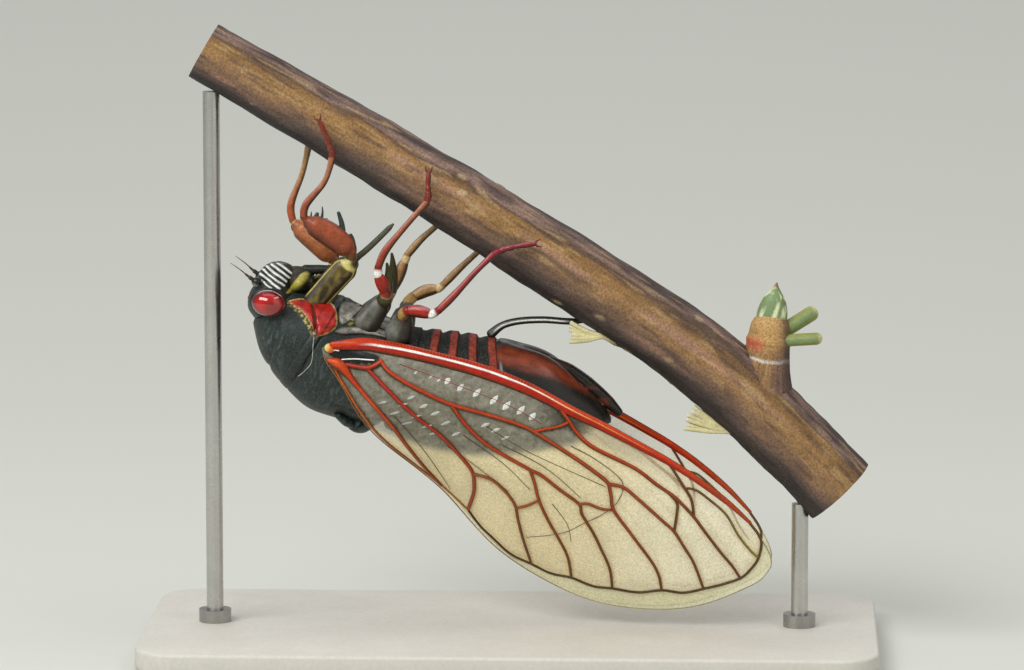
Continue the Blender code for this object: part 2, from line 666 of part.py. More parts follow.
# Radii along the coxa, femur, tibia and tarsus of a fore leg, and of the others
FORE_GIRTH = ((0.85, 0.75, 0.45), (0.45, 0.95, 0.42), (0.26, 0.25, 0.25, 0.27), (0.25, 0.22, 0.14))
REAR_GIRTH = ((0.85, 0.70, 0.40), (0.40, 0.50, 0.32), (0.27, 0.27, 0.25, 0.25), (0.25, 0.22, 0.14))
# Spines on the twig side of a fore femur: how far along it, how far its tip leans back, its length
FEMUR_SPINES = ((0.30, 0.25, 0.75), (0.52, 0.10, 0.95), (0.74, -0.10, 0.70))
TIBIA_SPURS = (0.45, 0.65, 0.82, 0.97)


def femur_spines(line, widths):
    """The stout spines along the underside of a digging femur."""
    pieces = []
    for along, lean, length in FEMUR_SPINES:
        root = hermite(line, along * (len(line) - 1))
        thick = hermite(widths, along * (len(line) - 1))
        ahead = (line[-1] - line[0]).normalized()
        down = Vector((ahead.z, 0, -ahead.x)).normalized()
        tip = root + down * (thick + length) + ahead * lean
        pieces.append(tube((root, root + down * thick, tip), (0.30, 0.26, 0.06), 6))
    return pieces


def tibia_spurs(line, side):
    """Short spurs down the outer side of a hind tibia, and at its end."""
    pieces = []
    for i, along in enumerate(TIBIA_SPURS):
        root = hermite(line, along * (len(line) - 1))
        lean = Vector((-0.45, 0.30 * side, 0.30 if i % 2 else 0.55))
        pieces.append(tube((root, root + lean), (0.18, 0.05), 5))
    return pieces


def claws(line, side):
    """The two hooked claws at the end of a foot."""
    ahead = (line[-1] - line[-2]).normalized()
    pieces = []
    for spread in (1, -1):
        across = Vector((-ahead.z, 0, ahead.x)).normalized() * (0.26 * spread)
        grip = Vector((0, -0.14 * side, 0))
        middle = line[-1] + ahead * 0.22 + across * 0.7
        tip = line[-1] + ahead * 0.50 + across + grip
        pieces.append(tube((line[-1] - ahead * 0.1, middle, tip), (0.13, 0.11, 0.04), 5))
    return pieces


def make_legs(pose, finishes):
    shell = body_part(NECK, WAIST + 2, 18, GAP + 0.05)
    for leg, side, *paths in LEGS:
        girths = FORE_GIRTH if leg.startswith("fore") else REAR_GIRTH
        for name, path, girth in zip(LEG_PARTS, paths, girths):
            line = through(mirrored(path, side), 2)
            widths = [hermite(girth, i / 2) for i in range(len(line))]
            pieces = [tube(line, widths, 8)]
            if name == "femur" and leg.startswith("fore"):
                pieces += femur_spines(line, widths)
            if name == "tibia" and leg.startswith("hind"):
                pieces += tibia_spurs(line, side)
            if name == "tarsus":
                pieces += claws(line, side)
            cuts = [shell] if name == "coxa" else ()
            finish = finishes["leg_dark" if name == "coxa" else "leg"]
            node(f"{name}_{leg}", fused(pieces, cuts), finish, pose)


# Twig and stand

# Splinters raised where eggs were laid: root (x, y, z), how far the fan's middle reaches, and how wide
EGG_SLITS = (
    ((-16.80, -0.7, -6.80), (2.40, 0.25, 0.40), 1.35),
    ((-27.60, -0.7, -2.85), (3.60, 0.25, -0.05), 1.70),
)
SPLINTERS = 5
# The side shoot: its stump rises from the twig to the bud
STUMP = ((-28.55, 0, -6.10), (-28.25, 0, -8.70), (-27.95, 0, -10.40))
STUMP_RADII = (2.10, 1.80, 1.35)
BUD = ((-27.95, 0, -10.30), (-27.80, 0, -11.40), (-27.60, 0, -12.70), (-27.45, 0, -13.80))
BUD_RADII = (0.95, 1.10, 0.80, 0.15)
# Cut leaf stalks beside the bud: foot, end and radius
STALKS = (
    ((-28.5, 0.2, -10.2), (-30.4, 0.5, -12.3), 0.62),
    ((-28.4, -0.3, -9.8), (-31.2, -0.9, -10.9), 0.50),
)


def twig_path():
    """The twig's centre line and its radius at each point of it."""
    line = through([(x, 0, z) for (x, z), _ in TWIG_LINE], TWIG_STEPS)
    radii = [hermite([r for _, r in TWIG_LINE], i / TWIG_STEPS) for i in range(len(line))]
    return line, radii


def splinter_fan(root, reach, width):
    """Flat splinters that spread from one root, as the egg slits leave them."""
    root, reach = Vector(root), Vector(reach)
    across = Vector((-reach.z, 0, reach.x)).normalized()
    if across.z > 0:
        across.negate()
    pieces = []
    for i in range(SPLINTERS):
        spread = (i / (SPLINTERS - 1) - 0.5) * width
        length = 1.0 - 0.06 * (i % 2)
        start = root - reach.normalized() * 0.9 - across * 0.35
        middle = root + reach * (0.5 * length) + across * (0.40 * spread - 0.10)
        tip = root + reach * length + across * spread
        pieces.append(tube((start, root, middle, tip), (0.30, 0.28, 0.27, 0.20), 6))
    return pieces


def make_twig(pose, finishes):
    line, radii = twig_path()
    pieces = [tube(line, radii, TWIG_SIDES, (0, 1, 0))]
    pieces.append(tube(through(STUMP, 2), [hermite(STUMP_RADII, i / 2) for i in range(5)], 14, (0, 1, 0)))
    pieces.append(tube(through(BUD, 2), [hermite(BUD_RADII, i / 2) for i in range(7)], 12, (0, 1, 0)))
    for foot, end, radius in STALKS:
        pieces.append(tube((foot, end), (radius, radius), 8))
    for slit in EGG_SLITS:
        pieces += splinter_fan(*slit)
    node("twig", fused(pieces), finishes["bark"], pose)


def base_outline():
    """The base's outline, a rectangle with round corners."""
    outline = []
    for turn, cx, cy in ((0, 1, 1), (90, -1, 1), (180, -1, -1), (270, 1, -1)):
        for step in range(5):
            angle = math.radians(turn + 90 * step / 4)
            x = cx * (BASE_LENGTH / 2 - BASE_CORNER) + BASE_CORNER * math.cos(angle)
            y = cy * (BASE_DEPTH / 2 - BASE_CORNER) + BASE_CORNER * math.sin(angle)
            outline.append(Vector((x, y, 0)))
    return outline


def make_stand(pose, finishes):
    """A flat base, and a rod up to the twig near each of its ends."""
    outline = base_outline()
    slab = loft([outline, [p + Vector((0, 0, BASE_THICK)) for p in outline]])
    node("stand_base", fused([slab]), finishes["stand"])
    line, radii = twig_path()
    turn = pose.matrix_world.to_3x3()
    world = [turn @ p + pose.matrix_world.translation / MM for p in line]
    high, low = world[0].x + ROD_INSET_HIGH, world[-1].x - ROD_INSET_LOW
    for name, x in (("stand_rod_high", high), ("stand_rod_low", low)):
        i = next(i for i in range(len(world) - 1) if world[i].x <= x <= world[i + 1].x)
        f = (x - world[i].x) / (world[i + 1].x - world[i].x)
        slope = (world[i + 1] - world[i]).normalized()
        radius = radii[i] + (radii[i + 1] - radii[i]) * f
        top = (world[i].lerp(world[i + 1], f)).z - (radius + GAP) / slope.x
        foot = [Vector((x + ROD_RADIUS * c, ROD_RADIUS * s, BASE_THICK + GAP)) for c, s in circle(12)]
        head = [Vector((p.x, p.y, top + (p.x - x) * slope.z / slope.x)) for p in foot]
        node(name, fused([loft([foot, head])]), finishes["rod"])


def main():
    for obj in list(bpy.data.objects):
        bpy.data.objects.remove(obj)
    finishes = {
        "shell": material("shell", (0.02, 0.03, 0.035), 0.45),
        "belly": material("belly", (0.16, 0.05, 0.03), 0.4),
        "tail": material("tail", (0.20, 0.04, 0.02), 0.3),
        "eye": material("eye", (0.55, 0.02, 0.01), 0.15),
        "leg": material("leg", (0.50, 0.12, 0.05), 0.35),
        "leg_dark": material("leg_dark", (0.10, 0.08, 0.03), 0.4),
        "wing": material("wing", (0.85, 0.70, 0.45), 0.2),
        "bark": material("bark", (0.20, 0.13, 0.09), 0.8),
        "stand": material("stand", (0.62, 0.60, 0.56), 0.5),
        "rod": material("rod", (0.60, 0.60, 0.60), 0.3, 1.0),
    }
    pose = bpy.data.objects.new("pose", None)
    bpy.context.scene.collection.objects.link(pose)
    ahead, up = tilted(BODY_SLOPE)
    turn = Matrix(((-ahead.x, 0, up.x), (0, 1, 0), (ahead.z, 0, -up.z)))
    pose.matrix_world = Matrix.Translation((THORAX_X * MM, 0, THORAX_Z * MM)) @ turn.to_4x4()
    bpy.context.view_layer.update()
    make_head(pose, finishes)
    make_body(pose, finishes)
    make_wings(pose, finishes)
    make_legs(pose, finishes)
    make_twig(pose, finishes)
    make_stand(pose, finishes)


main()
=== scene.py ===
"""Looks of a life-size periodical cicada that hangs under its twig on a plain stand.

Shapes are drawn in the insect's own frame in millimetres: X towards the head, Y towards its left
side, Z towards its back. Each piece is turned into the model's frame, in metres, when it is made.
"""

import math
import random

import bpy
import numpy as np
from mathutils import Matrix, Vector, noise
from mathutils.bvhtree import BVHTree
from mathutils.geometry import delaunay_2d_cdt


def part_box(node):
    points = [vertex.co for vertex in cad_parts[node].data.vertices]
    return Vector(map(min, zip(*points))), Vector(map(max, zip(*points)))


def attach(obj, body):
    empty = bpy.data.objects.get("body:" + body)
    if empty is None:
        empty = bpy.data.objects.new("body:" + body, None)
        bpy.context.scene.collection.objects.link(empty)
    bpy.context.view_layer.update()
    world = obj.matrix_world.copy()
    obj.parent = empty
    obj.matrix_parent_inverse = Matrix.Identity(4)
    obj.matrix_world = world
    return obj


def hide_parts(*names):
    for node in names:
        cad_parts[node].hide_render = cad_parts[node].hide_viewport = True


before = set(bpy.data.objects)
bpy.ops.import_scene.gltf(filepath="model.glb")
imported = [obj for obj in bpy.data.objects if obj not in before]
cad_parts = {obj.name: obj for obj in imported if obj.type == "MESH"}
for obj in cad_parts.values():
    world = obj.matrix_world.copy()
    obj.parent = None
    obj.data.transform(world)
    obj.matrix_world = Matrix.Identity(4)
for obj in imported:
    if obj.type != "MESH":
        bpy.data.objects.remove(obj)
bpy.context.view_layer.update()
MM = 0.001

# The pose and the sizes that the solids have too
BODY_SLOPE = 16.0
THORAX_X = -11.49
THORAX_Z = 20.43
BODY_SECTIONS = (
    ((7.5, -1.1), (5.2, -3.8), 3.6),
    ((6.4, 0.95), (4.2, -4.0), 3.95),
    ((5.12, 2.23), (2.95, -4.15), 4.15),
    ((3.75, 3.18), (1.55, -4.2), 4.15),
    ((2.0, 4.05), (0.4, -4.05), 4.1),
    ((0.0, 4.22), (-0.9, -3.85), 4.05),
    ((-1.8, 4.15), (-2.1, -3.7), 3.9),
    ((-3.4, 3.9), (-3.4, -3.5), 3.75),
    ((-6.0, 4.1), (-5.3, -3.8), 3.85),
    ((-9.2, 3.9), (-7.1, -4.15), 3.8),
    ((-12.2, 3.0), (-9.0, -4.35), 3.5),
    ((-14.3, 2.15), (-11.0, -4.65), 3.1),
    ((-16.0, 1.35), (-13.6, -4.45), 2.6),
    ((-17.6, 0.5), (-16.2, -3.65), 1.95),
    ((-18.8, -0.5), (-18.2, -2.8), 1.3),
    ((-19.6, -1.4), (-19.4, -2.1), 0.45),
)
# Where the abdomen, its first segment and the tail begin, counted in rows of the table above
WAIST = 7.0
FIRST_SEGMENT = 6.85
PYGOFER_START = 10.3
SEGMENTS = 5
HEAD_CENTRE = (6.35, 0.0, -2.45)
HEAD_PITCH = -40.5
HEAD_SECTIONS = (
    (-0.1, 3.55, 1.65, 1.75),
    (0.6, 3.6, 1.65, 1.8),
    (1.1, 3.05, 1.4, 1.8),
    (1.5, 2.2, 1.0, 1.6),
    (1.75, 1.2, 0.5, 1.2),
    (1.86, 0.35, 0.15, 0.4),
)
EYE_CENTRE = (6.48, 4.0, -2.96)
EYE_RADII = (1.2, 0.95, 0.94)
EYE_PITCH = 9.0
FACE_CENTRE = (6.5, 0.0, -4.15)
FACE_RADII = (1.46, 1.7, 1.22)
FACE_PITCH = 25.5


def srgb(red, green, blue):
    """A colour named by its 8-bit screen values, as light."""
    value = np.array((red, green, blue)) / 255
    return np.where(value <= 0.04045, value / 12.92, ((value + 0.055) / 1.055) ** 2.4)


# Colours
INK = srgb(28, 32, 30)
NIGHT = srgb(34, 44, 41)
# Blue-grey of the painted sheen on the black back
SHEEN_GREY = srgb(112, 128, 126)
VELVET = srgb(88, 87, 80)
ASH = srgb(172, 168, 156)
SOOT = srgb(34, 30, 24)
SLATE = srgb(46, 58, 56)
CRIMSON = srgb(200, 36, 28)
BLOOD = srgb(122, 22, 16)
RUST = srgb(150, 76, 34)
UMBER = srgb(104, 74, 42)
EARTH = srgb(58, 48, 24)
OCHRE = srgb(208, 156, 74)
LEMON = srgb(216, 204, 122)
OLIVE = srgb(142, 138, 52)
CHALK = srgb(238, 238, 230)
CHESTNUT = srgb(176, 70, 38)
CREAM = srgb(238, 223, 178)
HAZE = srgb(132, 131, 118)
PALE = srgb(236, 232, 186)
STRAW = srgb(218, 208, 156)
LEAF = srgb(116, 138, 90)


# Curves and small sums

# Fine steps between two of a curve's given points
CURVE_STEPS = 24


def smooth(low, high, x):
    """0 below low, 1 above high, and a soft step between."""
    f = np.clip((np.asarray(x, float) - low) / (high - low), 0, 1)
    return f * f * (3 - 2 * f)


def window(low, high, soft, x):
    """1 between low and high, falling to 0 over soft on both sides."""
    return smooth(low - soft, low + soft, x) * (1 - smooth(high - soft, high + soft, x))


def peak(x, wide):
    """1 where x is 0, falling to 0 on both sides over about wide."""
    return np.exp(-((x / wide) ** 2))


def mix(a, b, share):
    """Colour a turned into b by share, for arrays of shares."""
    share = np.asarray(share, float)[..., None]
    return np.asarray(a) * (1 - share) + np.asarray(b) * share


def tilted(pitch):
    """The directions ahead and up for something whose X axis is pitched up, in degrees."""
    c, s = math.cos(math.radians(pitch)), math.sin(math.radians(pitch))
    return np.array((c, 0, s)), np.array((-s, 0, c))


def cubic(f, start, leaving, end, arriving):
    """A smooth way from start to end at fractions f, with its slopes at both."""
    return (
        start * (2 * f**3 - 3 * f**2 + 1)
        + leaving * (f**3 - 2 * f**2 + f)
        + end * (3 * f**2 - 2 * f**3)
        + arriving * (f**3 - f**2)
    )


def hermite(values, t):
    """A smooth curve through values, one for each whole number t, at many t at once."""
    values = np.asarray(values, float)
    t = np.asarray(t, float)
    last = len(values) - 1
    i = np.clip(np.floor(t).astype(int), 0, last - 1)
    f = t - i
    if values.ndim > 1:
        f = f[..., None]
    before, after = values[np.maximum(i - 1, 0)], values[np.minimum(i + 2, last)]
    start, end = values[i], values[i + 1]
    return cubic(f, start, (end - before) / 2, end, (after - start) / 2)


def knots(table, x):
    """A smooth value read from a table of (x, value) rows in rising x."""
    xs, values = (np.array(column, float) for column in zip(*table))
    slopes = np.gradient(values, xs)
    x = np.clip(np.asarray(x, float), xs[0], xs[-1])
    i = np.clip(np.searchsorted(xs, x, side="right") - 1, 0, len(xs) - 2)
    span = xs[i + 1] - xs[i]
    return cubic((x - xs[i]) / span, values[i], slopes[i] * span, values[i + 1], slopes[i + 1] * span)


def curve(points, pitch):
    """Evenly spaced points on a smooth curve through the given ones."""
    last = len(points) - 1
    fine = hermite(points, np.linspace(0, last, CURVE_STEPS * last + 1))
    lengths = np.r_[0, np.cumsum(np.linalg.norm(np.diff(fine, axis=0), axis=1))]
    count = max(2, int(round(lengths[-1] / pitch)) + 1)
    even = np.linspace(0, lengths[-1], count)
    return np.stack([np.interp(even, lengths, column) for column in fine.T], axis=1)


def shares(path):
    """How far along a path each of its points is, from 0 to 1."""
    return np.linspace(0, 1, len(path))


def widths(table, path):
    """A width for each point of a path, read from (share of its length, width) rows."""
    return np.interp(shares(path), *zip(*table))


def turns(sides):
    """Even turns round a ring, in radians."""
    return 2 * np.pi * np.arange(sides) / sides


def cloud(points, size):
    """Soft noise at points, from 0 to 1."""
    return 0.5 + 0.5 * grain(points, size)


def unit(vectors):
    return vectors / np.maximum(np.linalg.norm(vectors, axis=-1, keepdims=True), 1e-9)


def grain(points, size, seed=0.0):
    """Soft noise at points, from -1 to 1, with features of about size."""
    flat = np.asarray(points).reshape(-1, 3) / size + seed
    values = np.fromiter((noise.noise(p) for p in flat.tolist()), float, len(flat))
    return values.reshape(np.asarray(points).shape[:-1])


# Pieces

AHEAD, UP = tilted(BODY_SLOPE)
TURN = np.array(((-AHEAD[0], 0, UP[0]), (0, 1, 0), (AHEAD[2], 0, -UP[2])))
PLACE = np.array((THORAX_X, 0, THORAX_Z))
SIDES = ((1, "left"), (-1, "right"))
# Edges that turn by more than this many degrees stay sharp
SHARP = 60
SHARP_ON_STAND = 40
# How far out the rings of a tube's rounded end lie, as shares of its width
CAP_STEPS = (0.25, 0.5, 0.75, 0.94)
# How near to a ball's poles its first and last rings lie, in radians
POLE_GAP = 0.03


class Piece:
    """Points, faces, tints and finishes gathered for one object of the scene."""

    def __init__(self):
        self.points, self.tints, self.faces, self.finishes = [], [], [], []
        self.count = 0

    def add(self, points, faces, tint, finish=0, alpha=1.0):
        """Adds faces in one of the piece's finishes, with one tint or a tint for each point."""
        points = np.asarray(points, float).reshape(-1, 3)
        tint = np.broadcast_to(np.asarray(tint, float).reshape(-1, 3), points.shape)
        self.points.append(points)
        self.tints.append(np.c_[tint, np.broadcast_to(alpha, len(points))])
        self.faces += [[i + self.count for i in face] for face in faces]
        self.finishes += [finish] * len(faces)
        self.count += len(points)

    def add_sheet(self, points, faces, side, tint, alpha=1.0):
        """Adds a sheet in the second finish, as drawn or mirrored if side is -1."""
        if side < 0:
            faces = [face[::-1] for face in faces]
        self.add(sided(points, side), faces, tint, 1, alpha)

    def rings(self, rings, tint, finish=0, closed=True):
        """Adds a skin over rings of points, with a fan over each end if closed."""
        points = rings.reshape(-1, 3)
        tint = np.broadcast_to(tint, rings.shape).reshape(-1, 3)
        faces = ring_faces(rings)
        if closed:
            count, cols = len(points), rings.shape[1]
            points = np.vstack([points, rings[0].mean(0), rings[-1].mean(0)])
            tint = np.vstack([tint, tint[:cols].mean(0), tint[-cols:].mean(0)])
            steps = [(i, (i + 1) % cols) for i in range(cols)]
            faces += [[count, b, a] for a, b in steps]
            faces += [[count + 1, count - cols + a, count - cols + b] for a, b in steps]
        self.add(points, faces, tint, finish)

    def make(self, name, finishes, nodes, in_insect_frame=True, sharp=SHARP):
        """Makes the object, riding on the model, in place of the nodes it stands for."""
        points = np.concatenate(self.points)
        if in_insect_frame:
            points = points @ TURN.T + PLACE
        mesh = bpy.data.meshes.new(name)
        mesh.from_pydata((points * MM).tolist(), [], self.faces)
        tint = mesh.attributes.new("tint", "FLOAT_COLOR", "POINT")
        colours = np.clip(np.concatenate(self.tints), 0, 1)
        tint.data.foreach_set("color", colours.astype(np.float32).ravel())
        for finish in finishes:
            mesh.materials.append(LOOKS[finish])
        mesh.polygons.foreach_set("material_index", self.finishes)
        mesh.validate()
        mesh.shade_smooth()
        mesh.set_sharp_from_angle(angle=math.radians(sharp))
        obj = put(name, mesh)
        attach(obj, "root")
        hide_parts(*nodes)


def put(name, data):
    """A new object in the scene."""
    made = bpy.data.objects.new(name, data)
    bpy.context.scene.collection.objects.link(made)
    return made


def ring_faces(rings, first=0):
    """Faces with four corners between rings of points that are numbered from first."""
    rows, cols = rings.shape[:2]
    index = np.arange(rows * cols).reshape(rows, cols) + first
    turned = np.roll(index, -1, axis=1)
    corners = np.stack([index[:-1], turned[:-1], turned[1:], index[1:]], axis=-1)
    return corners.reshape(-1, 4).tolist()


def tube(path, wide, high, sides, across=(0, 1, 0), capped=True):
    """Rings round a path, half as wide and high as given, with rounded ends if capped."""
    wide, high = (np.broadcast_to(np.asarray(v, float), len(path)) for v in (wide, high))
    ahead = unit(np.gradient(path, axis=0))
    across = np.broadcast_to(np.asarray(across, float), path.shape)
    side = unit(across - ahead * (across * ahead).sum(-1, keepdims=True))
    up = np.cross(ahead, side)
    turn = turns(sides)[None, :, None]
    rings = (
        path[:, None]
        + side[:, None] * wide[:, None, None] * np.cos(turn)
        + up[:, None] * high[:, None, None] * np.sin(turn)
    )
    if not capped:
        return rings
    caps = []
    for end, sign in ((0, -1), (-1, 1)):
        reach = min(wide[end], high[end]) * sign
        off = rings[end] - path[end]
        centres = [path[end] + ahead[end] * (reach * step) for step in CAP_STEPS]
        caps.append([c + off * math.sqrt(1 - step**2) for c, step in zip(centres, CAP_STEPS)])
    return np.concatenate([caps[0][::-1], rings, caps[1]])


def places(rings):
    """How far along its rings each point is, from 0 to 1, and its turn round them in radians."""
    rows, cols = rings.shape[:2]
    return np.linspace(0, 1, rows)[:, None] * np.ones(cols), np.ones(rows)[:, None] * turns(cols)


def ball(centre, radii, pitch, sides, rows):
    """Rings over an ellipsoid whose X axis is pitched up, the first and last nearly points."""
    ahead, up = tilted(pitch)
    polar = np.linspace(POLE_GAP, np.pi - POLE_GAP, rows)[:, None, None]
    turn = turns(sides)[None, :, None]
    return (
        np.asarray(centre)
        + ahead * radii[0] * np.cos(polar)
        + np.array((0, 1, 0)) * radii[1] * np.sin(polar) * np.cos(turn)
        + up * radii[2] * np.sin(polar) * np.sin(turn)
    )


def sided(points, side):
    """Points drawn for the left side, moved to the given side: 1 for left and -1 for right."""
    return np.asarray(points, float) * (1, side, 1)


# Materials

# Each finish: its roughness, its mottling and fine stipple as (size in mm, how much darker and
# lighter), its bumps as (kind, size, depth), and plain values of the shader
FINISHES = {
    "shell": (0.5, (1.5, 0.25), (0.13, 0.4), [("noise", 0.16, 0.02)], {"Specular IOR Level": 0.35}),
    "velvet": (0.75, (0.8, 0.25), (0.13, 0.45), [("noise", 0.12, 0.02)], {"Specular IOR Level": 0.25}),
    "gloss": (0.3, (0.8, 0.18), (0.12, 0.25), [("noise", 0.2, 0.008)], {"Specular IOR Level": 0.4}),
    "eye": (0.09, (1.0, 0.12), (0.1, 0.05), [("cells", 0.09, 0.001)],
            {"IOR": 1.4, "Coat Weight": 1.0, "Coat IOR": 1.55, "Coat Roughness": 0.04}),
    "leg": (0.38, (0.5, 0.18), (0.1, 0.28), [("noise", 0.15, 0.008)], {"Specular IOR Level": 0.35}),
    "vein": (0.36, (0.8, 0.14), (0.1, 0.25), [("noise", 0.12, 0.006)], {"Specular IOR Level": 0.25}),
    "membrane": (0.35, (2.5, 0.06), (0.13, 0.2), [("noise", 0.5, 0.02)], {"Specular IOR Level": 0.2}),
    "bark": (0.8, (3.0, 0.12), (0.15, 0.38), [("noise", 0.8, 0.12), ("noise", 0.14, 0.03)], {}),
    "bud": (0.5, (0.9, 0.12), (0.12, 0.16), [("noise", 0.3, 0.02)], {}),
    "straw": (0.65, (0.6, 0.12), (0.1, 0.18), [("noise", 0.12, 0.02)], {}),
    "stand": (0.55, (3.0, 0.03), (0.3, 0.05), [("noise", 0.25, 0.004)], {}),
    "rod": (0.3, (2.0, 0.05), (0.2, 0.05), [("noise", 0.1, 0.002)], {"Metallic": 1.0}),
}
# How strongly pale specks show on some finishes, and the finish that the tint's alpha clears
DUST = {"shell": 0.08, "velvet": 0.1}
CLEAR = "membrane"
DUST_SIZE = 0.11
DUST_COLOUR = (0.42, 0.45, 0.42, 1.0)
# The parts of the noise's range that are spread out
NOISE_MIDDLE = (0.3, 0.7)
NOISE_PEAKS = (0.54, 0.72)
DETAIL = 4.0
LOW_DETAIL = 1.0
# How far the roughness varies, and the size of its patches beside the mottling's
ROUGHNESS_CHANGE = 0.15
ROUGHNESS_SIZE = 0.6
# Sockets of the mix node that carry its share, its two colours and its result
MIX_SHARE = 0
MIX_A = 6
MIX_B = 7
MIX_RESULT = 2


def link(tree, source, target):
    """Joins a socket to an input, or sets the input to a plain value."""
    if isinstance(source, bpy.types.NodeSocket):
        tree.links.new(source, target)
    else:
        target.default_value = source


def colour_mix(tree, blend, share, a, b):
    made = tree.nodes.new("ShaderNodeMix")
    made.data_type = "RGBA"
    made.blend_type = blend
    link(tree, share, made.inputs[MIX_SHARE])
    link(tree, a, made.inputs[MIX_A])
    link(tree, b, made.inputs[MIX_B])
    return made.outputs[MIX_RESULT]


def texture(tree, kind, size, detail=DETAIL):
    """Noise or cells with features of about size, in millimetres."""
    place = tree.nodes.new("ShaderNodeTexCoord").outputs["Object"]
    mapping = tree.nodes.new("ShaderNodeMapping")
    mapping.inputs["Rotation"].default_value = (0, math.radians(-BODY_SLOPE), 0)
    mapping.inputs["Scale"].default_value = [1 / (MM * size)] * 3
    tree.links.new(place, mapping.inputs["Vector"])
    made = tree.nodes.new("ShaderNodeTexVoronoi" if kind == "cells" else "ShaderNodeTexNoise")
    made.inputs["Scale"].default_value = 1.0
    tree.links.new(mapping.outputs[0], made.inputs["Vector"])
    if kind == "cells":
        return made.outputs["Distance"]
    made.inputs["Detail"].default_value = detail
    return made.outputs[0]


def varied(tree, size, low, high, part=NOISE_MIDDLE, detail=DETAIL):
    """A value that noise moves from low to high, over the given part of the noise's range."""
    value = texture(tree, "noise", size, detail)
    made = tree.nodes.new("ShaderNodeMapRange")
    for source, target in zip((value, *part, low, high), made.inputs):
        link(tree, source, target)
    return made.outputs[0]


def bump(tree, height, deep, before):
    """A bump of height 0 to 1 that stands deep millimetres high, over the one before it."""
    made = tree.nodes.new("ShaderNodeBump")
    made.inputs["Distance"].default_value = deep * MM
    tree.links.new(height, made.inputs["Height"])
    if before is not None:
        tree.links.new(before, made.inputs["Normal"])
    return made.outputs[0]


def make_finish(name, roughness, mottle, stipple, bumps, constants):
    """A material coloured by each piece's tint, with soft mottling and a fine stipple over it."""
    made = bpy.data.materials.new(name)
    made.use_nodes = True
    tree = made.node_tree
    shader = tree.nodes["Principled BSDF"]
    tint = tree.nodes.new("ShaderNodeAttribute")
    tint.attribute_name = "tint"
    colour = tint.outputs["Color"]
    for size, amount in (mottle, stipple):
        colour = colour_mix(tree, "MULTIPLY", 1.0, colour, varied(tree, size, 1 - amount, 1 + amount))
    if name in DUST:
        specks = varied(tree, DUST_SIZE, 0.0, DUST[name], NOISE_PEAKS, LOW_DETAIL)
        colour = colour_mix(tree, "MIX", specks, colour, DUST_COLOUR)
    tree.links.new(colour, shader.inputs["Base Color"])
    if name == CLEAR:
        tree.links.new(tint.outputs["Alpha"], shader.inputs["Alpha"])
    low, high = roughness * (1 - ROUGHNESS_CHANGE), roughness * (1 + ROUGHNESS_CHANGE)
    rough = varied(tree, mottle[0] * ROUGHNESS_SIZE, low, high)
    tree.links.new(rough, shader.inputs["Roughness"])
    normal = None
    for kind, size, deep in bumps:
        normal = bump(tree, texture(tree, kind, size), deep, normal)
    tree.links.new(normal, shader.inputs["Normal"])
    for socket, value in constants.items():
        shader.inputs[socket].default_value = value
    return made


LOOKS = {name: make_finish(name, *values) for name, values in FINISHES.items()}


# Flat outlines

# The side view looks down a little on the insect, so a point further out is seen lower by this share
SEEN_RISE = 0.1584
# Steps along the edge of a painted area, over a plate and along a thin cord, and the cord's lift
PAINT_PITCH = 0.15
PLATE_PITCH = 0.11
CORD_PITCH = 0.08
CORD_LIFT = 0.3
# A sheet's steps along its edge, its rows, and the room inside its edge, beside its pitch
EDGE_STEP = 0.7
ROW_STEP = 0.87
EDGE_ROOM = 0.4
# Corners of a sheet nearer to each other than this become one
MERGE_WITHIN = 1e-5
# How far out the side view is taken from, and how far in the surface about is
VIEW_FROM = 9
VIEW_DEPTH = 5.5
# How far a plate's rim is sunk, and how wide its rounded edge is
PLATE_SUNK = 0.08
PLATE_EDGE = 0.35


def seen(points):
    """Where points lie in the side view, as flat (x, z)."""
    points = points.reshape(-1, 3)
    return np.stack([points[:, 0], points[:, 2] + SEEN_RISE * np.abs(points[:, 1])], axis=1)


def nearest(flat, lines):
    """The distance from each flat point to the nearest of some polylines."""
    best = np.full(len(flat), np.inf)
    for line in lines:
        for p, q in zip(line, line[1:]):
            along = q - p
            f = np.clip((flat - p) @ along / (along @ along), 0, 1)
            best = np.minimum(best, np.linalg.norm(flat - p - f[:, None] * along, axis=1))
    return best


def closed(outline):
    return np.vstack([outline, outline[:1]])


def within(flat, outline):
    """Whether each flat point lies inside a closed outline."""
    hits = np.zeros(len(flat), int)
    for p, q in zip(outline, np.roll(outline, -1, axis=0)):
        if p[1] == q[1]:
            continue
        cross = p[0] + (flat[:, 1] - p[1]) * (q[0] - p[0]) / (q[1] - p[1])
        hits += ((p[1] > flat[:, 1]) != (q[1] > flat[:, 1])) & (flat[:, 0] < cross)
    return hits % 2 == 1


def painted(points, outline, soft):
    """How much of a painted area of the side view each point gets, rising to 1 over soft inside it."""
    flat = seen(points)
    edge = curve(closed(outline), PAINT_PITCH)
    share = within(flat, edge) * smooth(0, soft, nearest(flat, [edge]))
    return share.reshape(points.shape[:-1])


def along_line(points, line, half, soft):
    """1 on points that a line of the side view passes over, falling to 0 over soft."""
    share = smooth(half + soft, half, nearest(seen(points), [curve(line, PAINT_PITCH)]))
    return share.reshape(points.shape[:-1])


